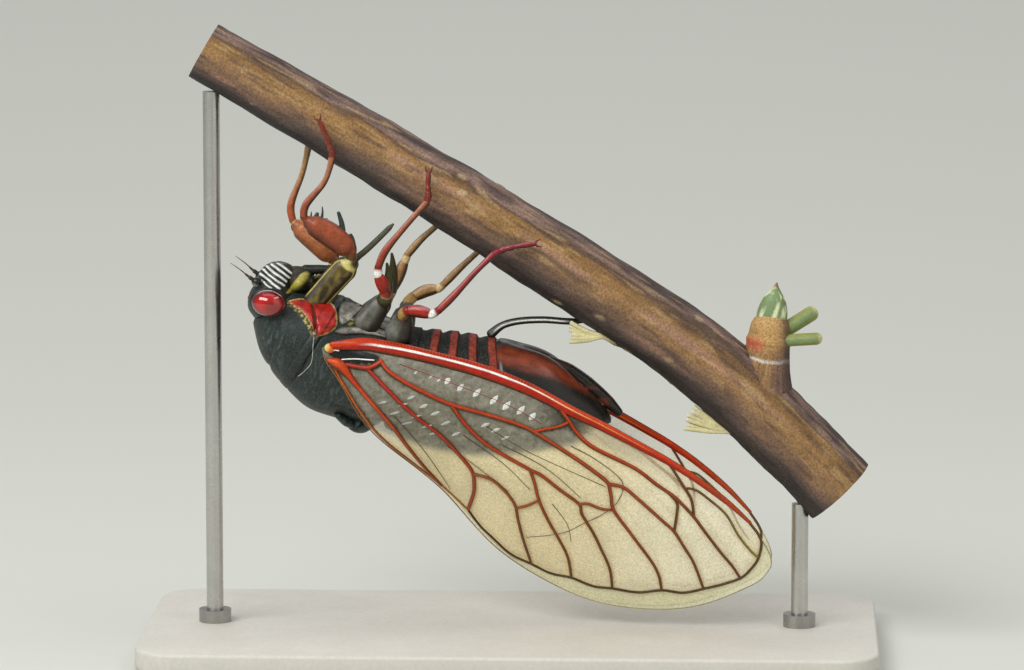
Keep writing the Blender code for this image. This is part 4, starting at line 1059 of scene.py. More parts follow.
# Each vein: half its width at its start and end, its colour at both, and the points it runs through
VEINS = {
    "ambient": (0.1, 0.09, UMBER, UMBER, (
        (-30.4, 2.9), (-31.5, 3.9), (-31.7, 5.2), (-31.4, 6.2), (-30.9, 7.0), (-29.8, 7.8), (-28.6, 8.5),
        (-27.3, 9.2), (-25.8, 9.45), (-24.2, 10.1), (-22.4, 10.35), (-21.0, 10.6), (-19.4, 10.45),
        (-17.9, 10.6), (-16.4, 10.35), (-14.8, 10.1), (-13.2, 9.3), (-12.1, 8.7), (-11.0, 7.8))),
    "anal_first": (0.19, 0.12, srgb(196, 66, 24), RUST, (
        (0.2, -0.15), (-0.5, 0.35), (-1.7, 1.15), (-3.1, 2.05), (-4.5, 3.1), (-5.9, 4.4), (-7.3, 5.6),
        (-8.7, 6.6))),
    "anal_second": (0.12, 0.08, srgb(176, 84, 34), srgb(176, 120, 56), (
        (1.0, -0.2), (0.0, 0.85), (-1.6, 2.35), (-3.1, 3.6), (-4.9, 4.75), (-7.0, 5.8), (-8.7, 6.6),
        (-11.0, 7.8))),
    "cubitus": (0.16, 0.13, srgb(172, 36, 26), srgb(166, 66, 30), (
        (-1.3, -0.72), (-2.5, -0.1), (-5.2, 1.4), (-7.8, 2.6), (-10.0, 4.1), (-10.6, 4.7), (-10.9, 5.5),
        (-11.05, 6.3), (-11.0, 7.7))),
    "cubitus_root": (0.17, 0.2, srgb(168, 34, 20), FLAME, (
        (0.0, -0.45), (-0.8, -0.55), (-1.6, -0.75), (-2.25, -1.35))),
    "cubitus_branch": (0.12, 0.09, RUST, PEAT, (
        (-10.6, 4.75), (-11.9, 4.7), (-13.0, 5.2), (-13.8, 5.8), (-14.2, 6.3), (-14.6, 7.2), (-15.4, 8.7),
        (-16.4, 10.35))),
    "media": (0.17, 0.14, FLAME, BRICK, (
        (-2.2, -1.45), (-2.9, -0.95), (-4.2, -0.56), (-5.8, -0.22), (-7.8, 0.08), (-11.0, 0.12),
        (-12.8, 0.2), (-13.9, 0.4), (-16.1, 1.09), (-17.8, 1.68), (-19.5, 2.37), (-20.0, 2.67))),
    "media_first": (0.13, 0.09, BRICK, PEAT, (
        (-20.0, 2.67), (-21.1, 2.65), (-22.4, 3.25), (-24.5, 4.35), (-25.4, 4.85), (-26.4, 5.8),
        (-27.4, 6.8), (-28.6, 8.5))),
    "media_second": (0.13, 0.09, BRICK, PEAT, (
        (-20.0, 2.67), (-20.4, 3.5), (-20.9, 4.5), (-22.7, 6.0), (-24.9, 7.9), (-25.8, 9.45))),
    "media_third": (0.15, 0.09, FLAME, PEAT, (
        (-7.8, 0.08), (-8.2, 0.45), (-9.2, 1.25), (-10.4, 1.95), (-11.7, 2.45), (-14.4, 3.15),
        (-15.3, 3.35), (-17.0, 4.1), (-18.4, 4.7), (-18.8, 5.4), (-19.9, 6.5), (-20.9, 7.7),
        (-21.8, 8.9), (-22.4, 10.35))),
    "media_fourth": (0.12, 0.09, BRICK, PEAT, (
        (-14.4, 3.15), (-15.0, 4.1), (-15.6, 5.2), (-16.6, 6.5), (-17.8, 7.8), (-18.7, 8.9),
        (-19.4, 10.45))),
    "media_cross": (0.1, 0.1, RUST, RUST, ((-18.4, 4.7), (-19.0, 4.5), (-20.0, 4.6), (-20.85, 4.45))),
    "cubitus_cross": (0.1, 0.1, RUST, RUST, ((-14.25, 6.3), (-15.0, 5.8), (-15.6, 5.2))),
    "radius_cross": (0.12, 0.12, FLAME, FLAME, ((-13.9, 0.4), (-14.7, 0.0), (-15.5, -0.4), (-16.1, -0.87))),
    "radius": (0.16, 0.09, FLAME, PEAT, (
        (-15.2, -1.55), (-16.1, -0.87), (-16.8, -0.29), (-18.2, 0.39), (-21.4, 1.07), (-23.1, 1.75),
        (-24.2, 2.15), (-24.9, 2.45), (-26.3, 3.33), (-27.5, 4.3), (-29.0, 5.5), (-30.1, 6.3),
        (-30.9, 7.05))),
    "radius_media": (0.1, 0.1, PEAT, PEAT, ((-24.2, 2.15), (-25.0, 2.75), (-25.2, 3.45), (-25.4, 4.85))),
    "radius_short": (0.1, 0.1, PEAT, PEAT, ((-23.8, 0.25), (-24.9, 1.25), (-25.9, 2.25), (-26.4, 3.33))),
    "radius_apex": (0.09, 0.08, UMBER, OLIVE, (
        (-25.4, 1.5), (-26.1, 1.5), (-27.3, 2.0), (-28.6, 2.7), (-29.9, 4.0), (-31.1, 4.9), (-31.7, 5.2))),
}
CREASES = (
    ((-4.2, 2.0), (-6.8, 4.0), (-9.4, 6.6)),
    ((-8.4, 3.2), (-10.6, 4.0), (-13.4, 5.2)),
    ((-9.2, 2.0), (-12.4, 3.2), (-14.8, 4.6)),
    ((-10.6, 0.9), (-14.0, 1.9), (-19.8, 2.9)),
    ((-12.0, 1.9), (-15.4, 2.7), (-18.4, 4.2)),
    ((-16.6, 5.2), (-18.0, 6.4), (-18.6, 7.6)),
    ((-16.7, 0.7), (-18.7, 1.2), (-20.8, 2.2), (-21.0, 3.5), (-20.4, 4.7), (-19.0, 6.1), (-17.8, 7.2),
     (-15.5, 8.3)),
)
HIND_VEINS = (
    (0.15, 0.09, ((-2.9, -0.6), (-6.0, -0.6), (-12.0, 0.4), (-16.5, 1.8), (-20.0, 3.6))),
    (0.13, 0.07, ((-6.0, -0.6), (-9.0, 1.2), (-13.0, 3.6), (-17.8, 6.4))),
    (0.13, 0.07, ((-2.9, -0.6), (-5.4, 1.2), (-10.0, 4.6), (-13.8, 7.4))),
)
BASAL_CELL = (
    (1.75, -1.0), (1.3, -1.2), (0.5, -1.45), (-0.7, -1.7), (-1.7, -1.72), (-2.1, -1.5), (-1.7, -1.1),
    (-0.5, -0.75), (0.3, -0.6), (1.0, -0.6),
)
# Pale lines of painted highlight along the black cell at the wing's root
CELL_HIGHLIGHTS = (((1.5, -1.12), (0.8, -1.25)), ((0.4, -0.72), (-0.5, -1.05), (-1.75, -1.35)))
WING_CLUB = ((1.25, -0.35), (0.75, -0.33), (0.2, -0.15), (-0.5, 0.35), (-1.4, 0.95))
CLUB_HALF_WIDTH = ((0, 0.2), (0.15, 0.4), (0.35, 0.42), (0.6, 0.28), (1, 0.17))
# Rows of white dashes of painted highlight on the dark part of the wing: the way they slant, how wide and
# how pale they are, and for each its middle and half its length
HIGHLIGHT_DASHES = (
    ((0.45, 0.89), 0.21, 0.78, (
        ((-7.1, -1.4), 0.22), ((-8.1, -1.2), 0.26), ((-9.3, -1.15), 0.32), ((-10.6, -1.0), 0.34),
        ((-11.55, -0.85), 0.34), ((-12.6, -0.8), 0.34), ((-13.5, -0.6), 0.28))),
    ((0.55, 0.83), 0.09, 0.55, (((-4.8, -1.35), 0.12), ((-5.9, -1.35), 0.16), ((-6.5, -1.3), 0.14))),
    ((0.78, 0.62), 0.13, 0.55, (
        ((-5.0, 0.35), 0.24), ((-6.0, 0.7), 0.28), ((-6.9, 1.0), 0.3), ((-7.8, 1.5), 0.32),
        ((-8.7, 2.1), 0.28), ((-10.5, 0.85), 0.3), ((-11.3, 1.0), 0.32), ((-12.1, 1.35), 0.26))),
    ((0.85, 0.53), 0.1, 0.3, (
        ((-3.2, 1.3), 0.28), ((-4.2, 1.8), 0.34), ((-5.2, 2.3), 0.36), ((-4.6, 1.0), 0.3),
        ((-5.7, 1.6), 0.34), ((-6.6, 2.1), 0.34), ((-7.2, 2.5), 0.3))),
)
DASH_LINE = ((-3.6, -1.6), (-6.0, -1.45), (-9.0, -1.2), (-12.0, -0.85), (-14.2, -0.3))
WING_ROOT = ((1.45, 4.62, -1.2), (0.4, 0.38, 0.34), 0.0)
# Steps over the sheets and along the veins, and how opaque the sheets are
FORE_WING_PITCH = 0.21
HIND_WING_PITCH = 0.45
VEIN_PITCH = 0.14
MEMBRANE_ALPHA = 0.84
MARGIN_ALPHA = 0.62
HIND_WING_ALPHA = 0.3
# How high a vein is beside its width, how high the front band is at most, and its dark ticks
VEIN_FLATNESS = 0.9
COSTA_HIGH = 0.3
COSTA_TICKS = 140


def wing_out(x, z):
    """How far the fore wing stands off the insect's middle plane."""
    front, rear = knots(WING_FRONT_HIGH, x), knots(WING_REAR_HIGH, x)
    f = np.clip((z - front) / (rear - front), 0, 1)
    straight = knots(WING_FRONT_OUT, x) * (1 - f) + knots(WING_REAR_OUT, x) * f
    curl = np.clip(1 - f / WING_CURL_SHARE, 0, 1)
    return straight + 4 * f * (1 - f) * knots(WING_BULGE, x) - knots(WING_CURL, x) * curl**2


def wing_normal(flat):
    """The left wing's outward normals."""
    x, z, step = flat[:, 0], flat[:, 1], 0.3
    slope_x = (wing_out(x + step, z) - wing_out(x - step, z)) / (2 * step)
    slope_z = (wing_out(x, z + step) - wing_out(x, z - step)) / (2 * step)
    return unit(np.stack([-slope_x, np.ones_like(x), -slope_z], axis=1))


def on_wing(flat, inset=0.0):
    """Points of a side view, lifted onto the left wing and set in by inset."""
    x, z = flat[:, 0], flat[:, 1]
    return np.stack([x, wing_out(x, z), z], axis=1) - wing_normal(flat) * inset


def over_body(flat):
    """1 where the wing lies over the body, falling to 0 just beyond the back."""
    back = [(b[0], b[1] - SEEN_RISE * 3) for b, _, _ in BODY_SECTIONS[::-1]]
    edge = knots(back, flat[:, 0])
    return smooth(0.5, -0.3, flat[:, 1] - edge) * smooth(-18.2, -16.6, flat[:, 0])


def across_wing(points, flat):
    """The directions across a line on the wing, in the wing's surface."""
    return np.cross(unit(np.gradient(points, axis=0)), wing_normal(flat))


def add_vein(piece, flat, half, first, last, side, inset=0.0):
    """A vein as a tube along the wing, its colour turning from first to last, with painted shade on one side
    and a dark line along the other edge.
    """
    path = curve(flat, VEIN_PITCH)
    points = on_wing(path, inset)
    half = np.interp(shares(path), shares(half), half)
    rings = tube(points, half, half * VEIN_FLATNESS, 12, across_wing(points, path))
    along, turn = places(rings)
    place = np.cos(turn)
    tint = mix(first, last, smooth(0.1, 0.95, along))
    # Painted shade on one side, and a dark line along the other edge
    tint = mix(tint, EARTH, 0.9 * smooth(0.0, -0.6, place) + 0.6 * smooth(0.7, 0.95, place))
    piece.rings(sided(rings, side), tint)


def add_costa(piece, side):
    """The broad red band along the wing's front edge, darker red on the side towards the rear edge as
    painted shade, with a painted highlight as a pale line down its middle and a painted shadow line just
    below it.
    """
    path = curve(COSTA, 0.06)
    points = on_wing(path)
    half = knots(COSTA_HALF_WIDTH, shares(path))
    rings = tube(points, half, np.minimum(half * 0.62, COSTA_HIGH), 56, across_wing(points, path))
    along, turn = places(rings)
    place = np.cos(turn)
    # Painted shade: darker red on the side towards the wing's rear edge
    tint = mix(srgb(186, 54, 16), srgb(160, 32, 14), smooth(-0.05, -0.45, place))
    ticks = smooth(0.5, 0.9, 0.5 + 0.5 * np.sin(2 * np.pi * along * COSTA_TICKS))
    ticks = ticks * window(0.12, 0.7, 0.12, place) * window(0.1, 0.5, 0.04, along)
    tint = mix(tint, srgb(112, 24, 16), 0.85 * ticks)
    # A painted shadow line just below the pale line
    centre = -0.26 + 0.34 * smooth(0.1, 0.5, along)
    shade = window(-0.3, -0.2, 0.04, place - centre) * window(0.08, 0.9, 0.04, along)
    tint = mix(tint, BLOOD, 0.8 * shade)
    tint = mix(tint, EARTH, 0.9 * smooth(0.8, 0.95, np.abs(place)))
    # Painted highlight: a pale line down the middle
    wide = 0.14 - 0.07 * smooth(0.3, 0.6, along)
    line = smooth(wide + 0.05, wide - 0.03, np.abs(place - centre)) * window(0.085, 0.72, 0.03, along)
    pale = mix(CHALK, srgb(236, 170, 84), smooth(0.36, 0.6, along))
    tint = mix(tint, pale, line * (1 - 0.5 * smooth(0.5, 0.72, along)))
    tint = mix(tint, RUST, 0.6 * smooth(0.75, 0.98, along))
    piece.rings(sided(rings, side), tint)


def add_wing_root(piece, side):
    """The club-shaped vein at the wing's root, and the painted highlights beside the black cell."""
    club = knots(CLUB_HALF_WIDTH, shares(curve(WING_CLUB, 0.06)))
    add_vein(piece, WING_CLUB, club, srgb(206, 72, 24), srgb(184, 48, 18), side)
    for line in CELL_HIGHLIGHTS:
        points = on_wing(curve(line, 0.06), -0.03)
        piece.rings(sided(tube(points, 0.05, 0.05, 10), side), CHALK)
    root = sided(ball(*WING_ROOT, 32, 20), side)
    piece.rings(root, mix(srgb(222, 120, 50), LEMON, smooth(1.4, 1.75, root[..., 0])))


def add_membrane(piece, flat, faces, side):
    """The fore wing's sheet: cream, grey and hatched over the body with painted shade beside the veins,
    black in the root's cell.
    """
    gap = nearest(flat, [curve(vein[4], 0.3) for vein in VEINS.values()] + [curve(COSTA, 0.3)])
    points = on_wing(flat) + wing_normal(flat) * (0.1 * smooth(0.0, 1.2, gap) - 0.05)[:, None]
    inside = within(flat, np.vstack([VEINS["ambient"][4], VEINS["anal_second"][4][::-1], COSTA]))
    dark = over_body(flat)
    tint = mix(CREAM, srgb(246, 238, 206), smooth(-17, -27, flat[:, 0]))
    tint = mix(tint, OCHRE, 0.4 * smooth(0.4, 0.05, gap))
    hatch = np.stack([flat @ (0.8, 0.6) / 3, 0 * gap, flat @ (-0.6, 0.8)], axis=1)
    grey = mix(HAZE, ASH, 0.55 * smooth(0.0, 0.45, grain(hatch, 0.3)))
    # Darker beside the veins over the body as painted shade, with dark specks
    specks = 0.75 * smooth(0.32, 0.1, gap) + 0.55 * smooth(0, 0.45, grain(points, 0.26, 4.0))
    grey = mix(grey, srgb(78, 72, 60), specks)
    tint = mix(tint, grey, 0.92 * dark)
    tint = mix(tint, PALE, 0.9 * ~inside * (1 - dark))
    edge = curve(closed(BASAL_CELL), 0.1)
    cell = within(flat, edge) | (nearest(flat, [edge]) < 0.08)
    tint = mix(tint, INK, cell)
    behind_costa = smooth(1.6, 0.8, nearest(flat, [curve(COSTA, 0.3)])) * smooth(-13.0, -15.5, flat[:, 0])
    alpha = MEMBRANE_ALPHA - 0.12 * dark - 0.44 * behind_costa
    alpha = np.where(cell, 1.0, np.where(inside, alpha, MARGIN_ALPHA))
    piece.add_sheet(points, faces, side, tint, alpha)


def add_dashes(piece, side):
    """The rows of white dashes of painted highlight over the wing's grey part, and the thin line beside
    them.
    """
    add_vein(piece, DASH_LINE, (0.04, 0.04), srgb(172, 100, 92), srgb(160, 104, 96), side, -0.04)
    for slant, wide, share, dashes in HIGHLIGHT_DASHES:
        for middle, long in dashes:
            line = curve(np.array(middle) + np.outer((-1, 0, 1), slant) * long, 0.06)
            points = on_wing(line, -0.02)
            half = wide * np.sin(np.linspace(0.35, np.pi - 0.35, len(line)))
            rings = tube(points, half, 0.05, 14, across_wing(points, line))
            tint = mix(HAZE, CHALK, share * (0.8 + 0.2 * grain(rings, 0.12)))
            piece.rings(sided(rings, side), tint)


def make_fore_wing(side, name):
    """The clear sheet with its front band, veins, creases and dashes, and a thin rear edge."""
    piece = Piece()
    flat, faces, outline = sheet(FORE_WING_OUTLINE, FORE_WING_PITCH)
    add_membrane(piece, flat, faces, side)
    add_costa(piece, side)
    add_wing_root(piece, side)
    for start, end, first, last, path in VEINS.values():
        add_vein(piece, path, (start, end), first, last, side)
    for path in CREASES:
        add_vein(piece, path, (0.03, 0.02), UMBER, UMBER, side, -0.05)
    add_dashes(piece, side)
    rear = outline[outline[:, 1] > knots([(x, z + 0.3) for x, z in COSTA[::-1]], outline[:, 0])]
    add_vein(piece, rear[2:-2], (0.04, 0.04), srgb(196, 190, 140), srgb(188, 112, 52), side, -0.03)
    piece.make(f"forewing_{name}_sheet", ["vein", "membrane"], [f"forewing_{name}"])


def make_hind_wing(side, name):
    """The plainer sheet behind the fore wing, with three veins and a thin edge all round."""
    piece = Piece()
    flat, faces, outline = sheet(HIND_WING_OUTLINE, HIND_WING_PITCH)
    points = on_wing(flat, HIND_WING_INSET)
    tint = mix(CREAM, ASH, 0.3 + 0.2 * grain(points, 1.5))
    piece.add_sheet(points, faces, side, tint, HIND_WING_ALPHA)
    for start, end, path in HIND_VEINS:
        add_vein(piece, path, (start, end), RUST, UMBER, side, HIND_WING_INSET)
    add_vein(piece, closed(outline), (0.04, 0.04), UMBER, UMBER, side, HIND_WING_INSET)
    piece.make(f"hindwing_{name}_sheet", ["vein", "membrane"], [f"hindwing_{name}"])


# Legs

# Each leg's coxa, femur, tibia and foot, as rows of (x, distance from the middle, z)
LEGS = (
    ("fore_right", -1, ((3.55, 1.85, -3.45), (2.3, 1.95, -6.05), (1.75, 2.3, -7.05)),
     ((1.92, 2.5, -7.86), (3.57, 2.6, -8.57), (5.32, 2.65, -9.05)),
     ((5.8, 2.7, -9.3), (5.88, 2.75, -10.23), (5.07, 2.9, -12.15), (5.0, 2.95, -13.9)),
     ((5.1, 2.97, -14.3), (5.9, 3.02, -15.4), (6.57, 3.0, -16.19))),
    ("fore_left", 1, ((3.9, 1.8, -3.3), (2.9, 1.85, -5.2), (2.85, 2.1, -5.7)),
     ((3.15, 2.2, -6.3), (4.7, 2.4, -7.2), (6.3, 2.5, -7.8)),
     ((6.72, 2.55, -8.1), (7.14, 2.6, -9.2), (6.97, 2.75, -11.5), (7.07, 2.9, -13.4)),
     ((7.12, 2.95, -13.8), (7.4, 3.05, -15.1), (7.8, 3.0, -16.2))),
    ("mid_right", -1, ((-0.5, 2.2, -3.2), (-1.05, 2.4, -4.75), (-1.3, 2.65, -5.2)),
     ((-1.28, 3.05, -5.72), (-0.85, 3.3, -6.35), (-0.32, 3.45, -6.98)),
     ((-0.22, 3.5, -7.5), (-0.4, 3.5, -8.8), (-1.35, 3.4, -11.0), (-2.2, 3.25, -12.78)),
     ((-2.22, 3.2, -13.28), (-1.98, 3.15, -14.0), (-1.78, 3.05, -14.8))),
    ("mid_left", 1, ((-0.5, 2.2, -3.2), (-1.05, 2.3, -4.2), (-1.3, 2.5, -4.6)),
     ((-1.4, 2.8, -5.08), (-1.6, 3.0, -6.4), (-1.74, 3.1, -7.5)),
     ((-1.8, 3.15, -7.9), (-2.4, 3.2, -9.2), (-3.28, 3.25, -10.6), (-3.9, 3.25, -11.9)),
     ((-4.0, 3.25, -12.3), (-4.05, 3.2, -13.1), (-3.9, 3.1, -13.9))),
    ("hind_right", -1, ((-2.8, 2.4, -3.1), (-2.85, 2.55, -4.25), (-2.75, 2.8, -4.6)),
     ((-2.95, 3.4, -5.05), (-3.8, 3.7, -5.32), (-4.72, 3.85, -5.38)),
     ((-5.15, 3.95, -5.85), (-5.9, 3.85, -7.2), (-6.9, 3.7, -9.2), (-7.7, 3.5, -10.6)),
     ((-8.0, 3.42, -10.95), (-9.1, 3.3, -11.6), (-10.28, 3.2, -12.11))),
    ("hind_left", 1, ((-2.8, 2.4, -3.1), (-2.8, 2.45, -4.15), (-2.65, 2.65, -4.45)),
     ((-2.9, 3.15, -4.98), (-3.7, 3.4, -5.7), (-4.58, 3.5, -6.15)),
     ((-4.87, 3.5, -6.55), (-5.6, 3.45, -7.9), (-6.5, 3.4, -9.4), (-7.3, 3.4, -10.7)),
     ((-7.55, 3.4, -11.05), (-8.5, 3.35, -11.6), (-9.5, 3.25, -12.1))),
)
# The colours of each leg's femur, of its tibia at the knee and at the foot, and of its foot
LEG_TINTS = {
    "fore_right": (srgb(152, 72, 40), srgb(158, 76, 46), srgb(170, 106, 72), srgb(124, 48, 30)),
    "fore_left": (srgb(190, 114, 68), srgb(180, 84, 50), srgb(196, 156, 98), srgb(170, 112, 74)),
    "mid_right": (srgb(176, 38, 20), srgb(160, 54, 30), srgb(168, 98, 60), srgb(130, 44, 28)),
    "mid_left": (srgb(200, 146, 90), srgb(190, 144, 86), srgb(184, 148, 84), srgb(150, 96, 62)),
    "hind_right": (srgb(168, 32, 20), srgb(164, 52, 38), srgb(150, 38, 42), srgb(140, 32, 46)),
    "hind_left": (srgb(200, 152, 92), srgb(192, 148, 88), srgb(176, 130, 76), srgb(160, 98, 66)),
}
FORE_COXA = ((0, 0.86), (0.35, 0.88), (0.7, 0.9), (0.9, 0.84), (1, 0.6))
COXA = ((0, 0.95), (0.5, 0.8), (0.85, 0.62), (1, 0.42))
FORE_FEMUR = ((0, 0.42), (0.08, 0.66), (0.3, 0.84), (0.5, 0.88), (0.8, 0.8), (0.93, 0.7), (1, 0.5))
FEMUR = ((0, 0.34), (0.5, 0.46), (0.85, 0.38), (1, 0.28))
TIBIA = ((0, 0.26), (0.12, 0.28), (0.5, 0.22), (0.92, 0.23), (1, 0.26))
# Digging spines of the fore femur: points as (share of its length, height above its middle), and how
# thick each spine is at its root and tip
FEMUR_SPINES = (
    (((0.83, 0.6), (0.9, 1.1), (0.97, 1.42)), 0.13, 0.04),
    (((0.3, 0.45), (0.46, 1.2), (0.64, 1.73)), 0.27, 0.13),
    (((0.0, 0.25), (0.12, 0.75), (0.2, 0.95)), 0.24, 0.12),
    (((0.95, 0.45), (0.97, 0.8)), 0.2, 0.14),
)
# Where the legs' painted light comes from: towards the head and the belly
PAINTED_LIGHT_SIDE = np.array((0.707, 0, -0.707))
# For the fore legs and for the others: half the widths of coxa and femur, the coxa's colours at both
# ends, how clouded it is, and the hip's colour
FORE_LEG = (FORE_COXA, FORE_FEMUR, srgb(26, 20, 8), srgb(92, 74, 26), 0.3, srgb(96, 62, 34))
OTHER_LEG = (COXA, FEMUR, srgb(112, 112, 100), srgb(112, 112, 100) * 0.5, 0.7, srgb(190, 150, 90))
# How thick a coxa or femur is beside its width
FLATTENED = 0.85
# Each joint of a foot: the shares of the foot where it begins and ends, and half its width
FOOT_JOINTS = ((0.0, 0.24, 0.22), (0.22, 0.46, 0.2), (0.44, 1.0, 0.18))
SHIN_SPINES = 5
SHIN_SPINE = 0.34
HIND_SPUR = 0.55
MID_SPUR = ((-1.25, 2.75, -5.3), (-1.22, 2.65, -6.1), (-0.98, 2.6, -7.1), (-0.72, 2.6, -7.75))


def facing(rings):
    """How far each point of a tube faces the front above, its side of painted highlight, from -1 to 1."""
    return unit(rings - rings.mean(1, keepdims=True)) @ PAINTED_LIGHT_SIDE


def leg_part(piece, path, table, first, last, sides, flat=1.0, edged=False, cloudy=0.18):
    """One joint of a leg, with a painted highlight towards the front above and painted shade on its other
    side. table gives half its width at points along it, edged its yellow edges.
    """
    path = curve(path, 0.07)
    half = knots(table, shares(path))
    rings = tube(path, half * flat, half, sides)
    along, turn = places(rings)
    lit = facing(rings)
    tint = mix(first, last, smooth(0.05, 0.95, along))
    tint = tint * (0.86 + cloudy * grain(rings * (1, 1, 0.5), 0.4))[..., None]
    # Painted highlight on the side towards the front above
    light = window(0.5, 0.8, 0.16, lit) * window(0.08, 0.94, 0.08, along)
    tint = tint + 0.45 * light[..., None] * (0.75 * tint.max(-1, keepdims=True) + 0.06 - 0.6 * tint)
    # Painted shade on the other side, and a dark line along the edge that faces the painted light most
    tint = mix(tint, srgb(44, 30, 18), 0.88 * smooth(0.05, -0.6, lit) + 0.6 * smooth(0.86, 0.98, lit))
    tint = mix(tint, SOOT, 0.45 * (smooth(0.08, 0.0, along) + smooth(0.93, 1.0, along)))
    if edged:
        out = np.abs(np.cos(turn))
        streak = grain(rings * (0.5, 1, 0.3), 0.18)
        rim = smooth(0.78, 0.96, out) * smooth(-0.35, 0.35, streak)
        tint = mix(tint, srgb(128, 112, 50), 0.65 * rim)
        edge = window(0.43, 0.56, 0.05, out) * window(0.1, 0.96, 0.06, along)
        tint = mix(tint, srgb(212, 196, 104), 0.9 * edge)
        hem = window(0.89, 0.96, 0.02, along + 0.03 * grain(rings, 0.5))
        tint = mix(tint, LEMON, 0.85 * hem * smooth(0.3, 0.6, out))
    piece.rings(rings, tint)


def spine(piece, path, thick, tip, tint):
    """A spine or claw along a path, tapering from thick to tip, with painted shade on its side away from the
    front above.
    """
    path = curve(path, 0.05)
    half = thick + (tip - thick) * shares(path)
    rings = tube(path, half, half, 14, (0.1, 1, 0.1))
    # Painted shade on the side away from the front above
    piece.rings(rings, mix(tint, SOOT, 0.5 * smooth(-0.2, -0.9, facing(rings))))


def cuff(piece, path, half, first, last):
    """A short joint between two parts of a leg, first coloured at its ends and last in its middle, with
    painted shade on its side away from the front above.
    """
    rings = tube(curve(path, 0.05), half, half, 24)
    tint = mix(first, last, smooth(0.85, 0.35, np.abs(2 * places(rings)[0] - 1)))
    # Painted shade on the side away from the front above
    piece.rings(rings, mix(tint, SOOT, 0.6 * smooth(-0.3, -0.9, facing(rings))))


def make_leg(leg, side, paths):
    """One leg: coxa, femur, tibia and foot, with the short joints and the spines between them."""
    piece = Piece()
    fore, near = leg.startswith("fore"), leg.endswith("right")
    coxa_half, femur_half, root_tint, coxa_tint, cloudy, hip_tint = FORE_LEG if fore else OTHER_LEG
    coxa, femur, tibia, tarsus = (sided(path, side) for path in paths)
    femur_tint, knee_tint, shin_tint, foot_tint = LEG_TINTS[leg]
    hip = (coxa[-1] + femur[0]) / 2
    knee = (tibia[0] + femur[-1]) / 2
    ankle = (tibia[-1] + tarsus[0]) / 2
    leg_part(piece, coxa, coxa_half, root_tint, coxa_tint, 64, FLATTENED, fore, cloudy)
    path = (coxa[-1] * 0.7 + coxa[-2] * 0.3, hip, femur[0] * 0.9 + femur[1] * 0.1)
    cuff(piece, path, 0.4, femur_tint * 0.5, hip_tint)
    leg_part(piece, femur, femur_half, femur_tint, femur_tint, 40, FLATTENED)
    if fore:
        add_femur_spines(piece, femur)
    if not (fore and near):
        path = (femur[-1] * 0.9 + femur[-2] * 0.1, femur[-1] * 0.98 + femur[-2] * 0.02, knee)
        cuff(piece, path, 0.31, femur_tint * 0.7, CHALK if near else srgb(232, 206, 150))
    cuff(piece, (femur[-1], knee, tibia[0]), 0.27, femur_tint * 0.35, femur_tint * 0.6)
    leg_part(piece, tibia, TIBIA, knee_tint, shin_tint, 28)
    for i in range(SHIN_SPINES):
        root = hermite(tibia, (i + 1.5) / (SHIN_SPINES + 1.5) * (len(tibia) - 1))
        long = HIND_SPUR if leg.startswith("hind") and i % 2 else SHIN_SPINE
        tip = root + np.array((-0.66, 0.35 * side * (-1) ** i, -0.66)) * long
        spine(piece, ((root + tip) / 2, tip), 0.07, 0.02, shin_tint * 0.6)
    cuff(piece, (tibia[-1], ankle, tarsus[0]), 0.24, foot_tint * 0.5, foot_tint * 0.8)
    add_foot(piece, tarsus, side, foot_tint)
    if leg.startswith("mid"):
        spine(piece, sided(MID_SPUR, side), 0.56, 0.1, srgb(62, 58, 26))
    nodes = [f"{part}_{leg}" for part in ("coxa", "femur", "tibia", "tarsus")]
    piece.make(f"leg_{leg}", ["leg"], nodes)


def add_foot(piece, path, side, tint):
    """A foot's three joints and its two claws."""
    for start, end, half in FOOT_JOINTS:
        stretch = hermite(path, np.linspace(start, end, 4) * (len(path) - 1))
        leg_part(piece, stretch, ((0, half * 0.8), (0.7, half * 1.05), (1, half * 0.8)), tint, tint, 20)
    foot = path[-1]
    ahead = unit(foot - path[-2])
    across = unit(np.array((-ahead[2], 0, ahead[0])))
    for turn in (1, -1):
        middle = foot + ahead * 0.22 + across * 0.2 * turn
        tip = foot + ahead * 0.45 + across * 0.24 * turn + (0, -0.12 * side, 0)
        spine(piece, (foot, middle, tip), 0.09, 0.025, tint * 0.5)


def add_femur_spines(piece, femur):
    """The stout digging spines on the twig side of a fore femur."""
    reach = femur[-1] - femur[0]
    ahead = unit(reach)
    rise = unit(np.array((ahead[2], 0, -ahead[0])))
    for points, thick, tip in FEMUR_SPINES:
        path = [femur[0] + reach * along + rise * high for along, high in points]
        spine(piece, path, thick, tip, SLATE)


# Twig

TWIG_LINE = (
    ((15.89, -18.32), 2.25), ((6.6, -16.01), 2.4), ((-1.93, -13.78), 2.5), ((-10.35, -11.37), 2.65),
    ((-20.84, -8.22), 2.75), ((-25.65, -6.33), 2.85), ((-32.3, -2.92), 2.85), ((-35.93, -0.79), 2.85),
)
TWIG_PATH = np.array([(x, 0, z) for (x, z), _ in TWIG_LINE])
TWIG_RADII = [radius for _, radius in TWIG_LINE]
# Frayed egg slits: where each starts, how far its splinters reach, how wide their fan is, and the seed
# of their lengths
EGG_SLITS = (
    ((-16.8, -0.7, -6.8), (2.4, 0.25, 0.4), 1.35, 7),
    ((-27.6, -0.7, -2.85), (3.6, 0.25, -0.05), 1.7, 13),
)
SPLINTERS = 6
PORES = 34
PORE_SEED = 4
# A pore is longer along the twig, so distances along it count for less
PORE_SHAPE = (0.55, 1, 1)
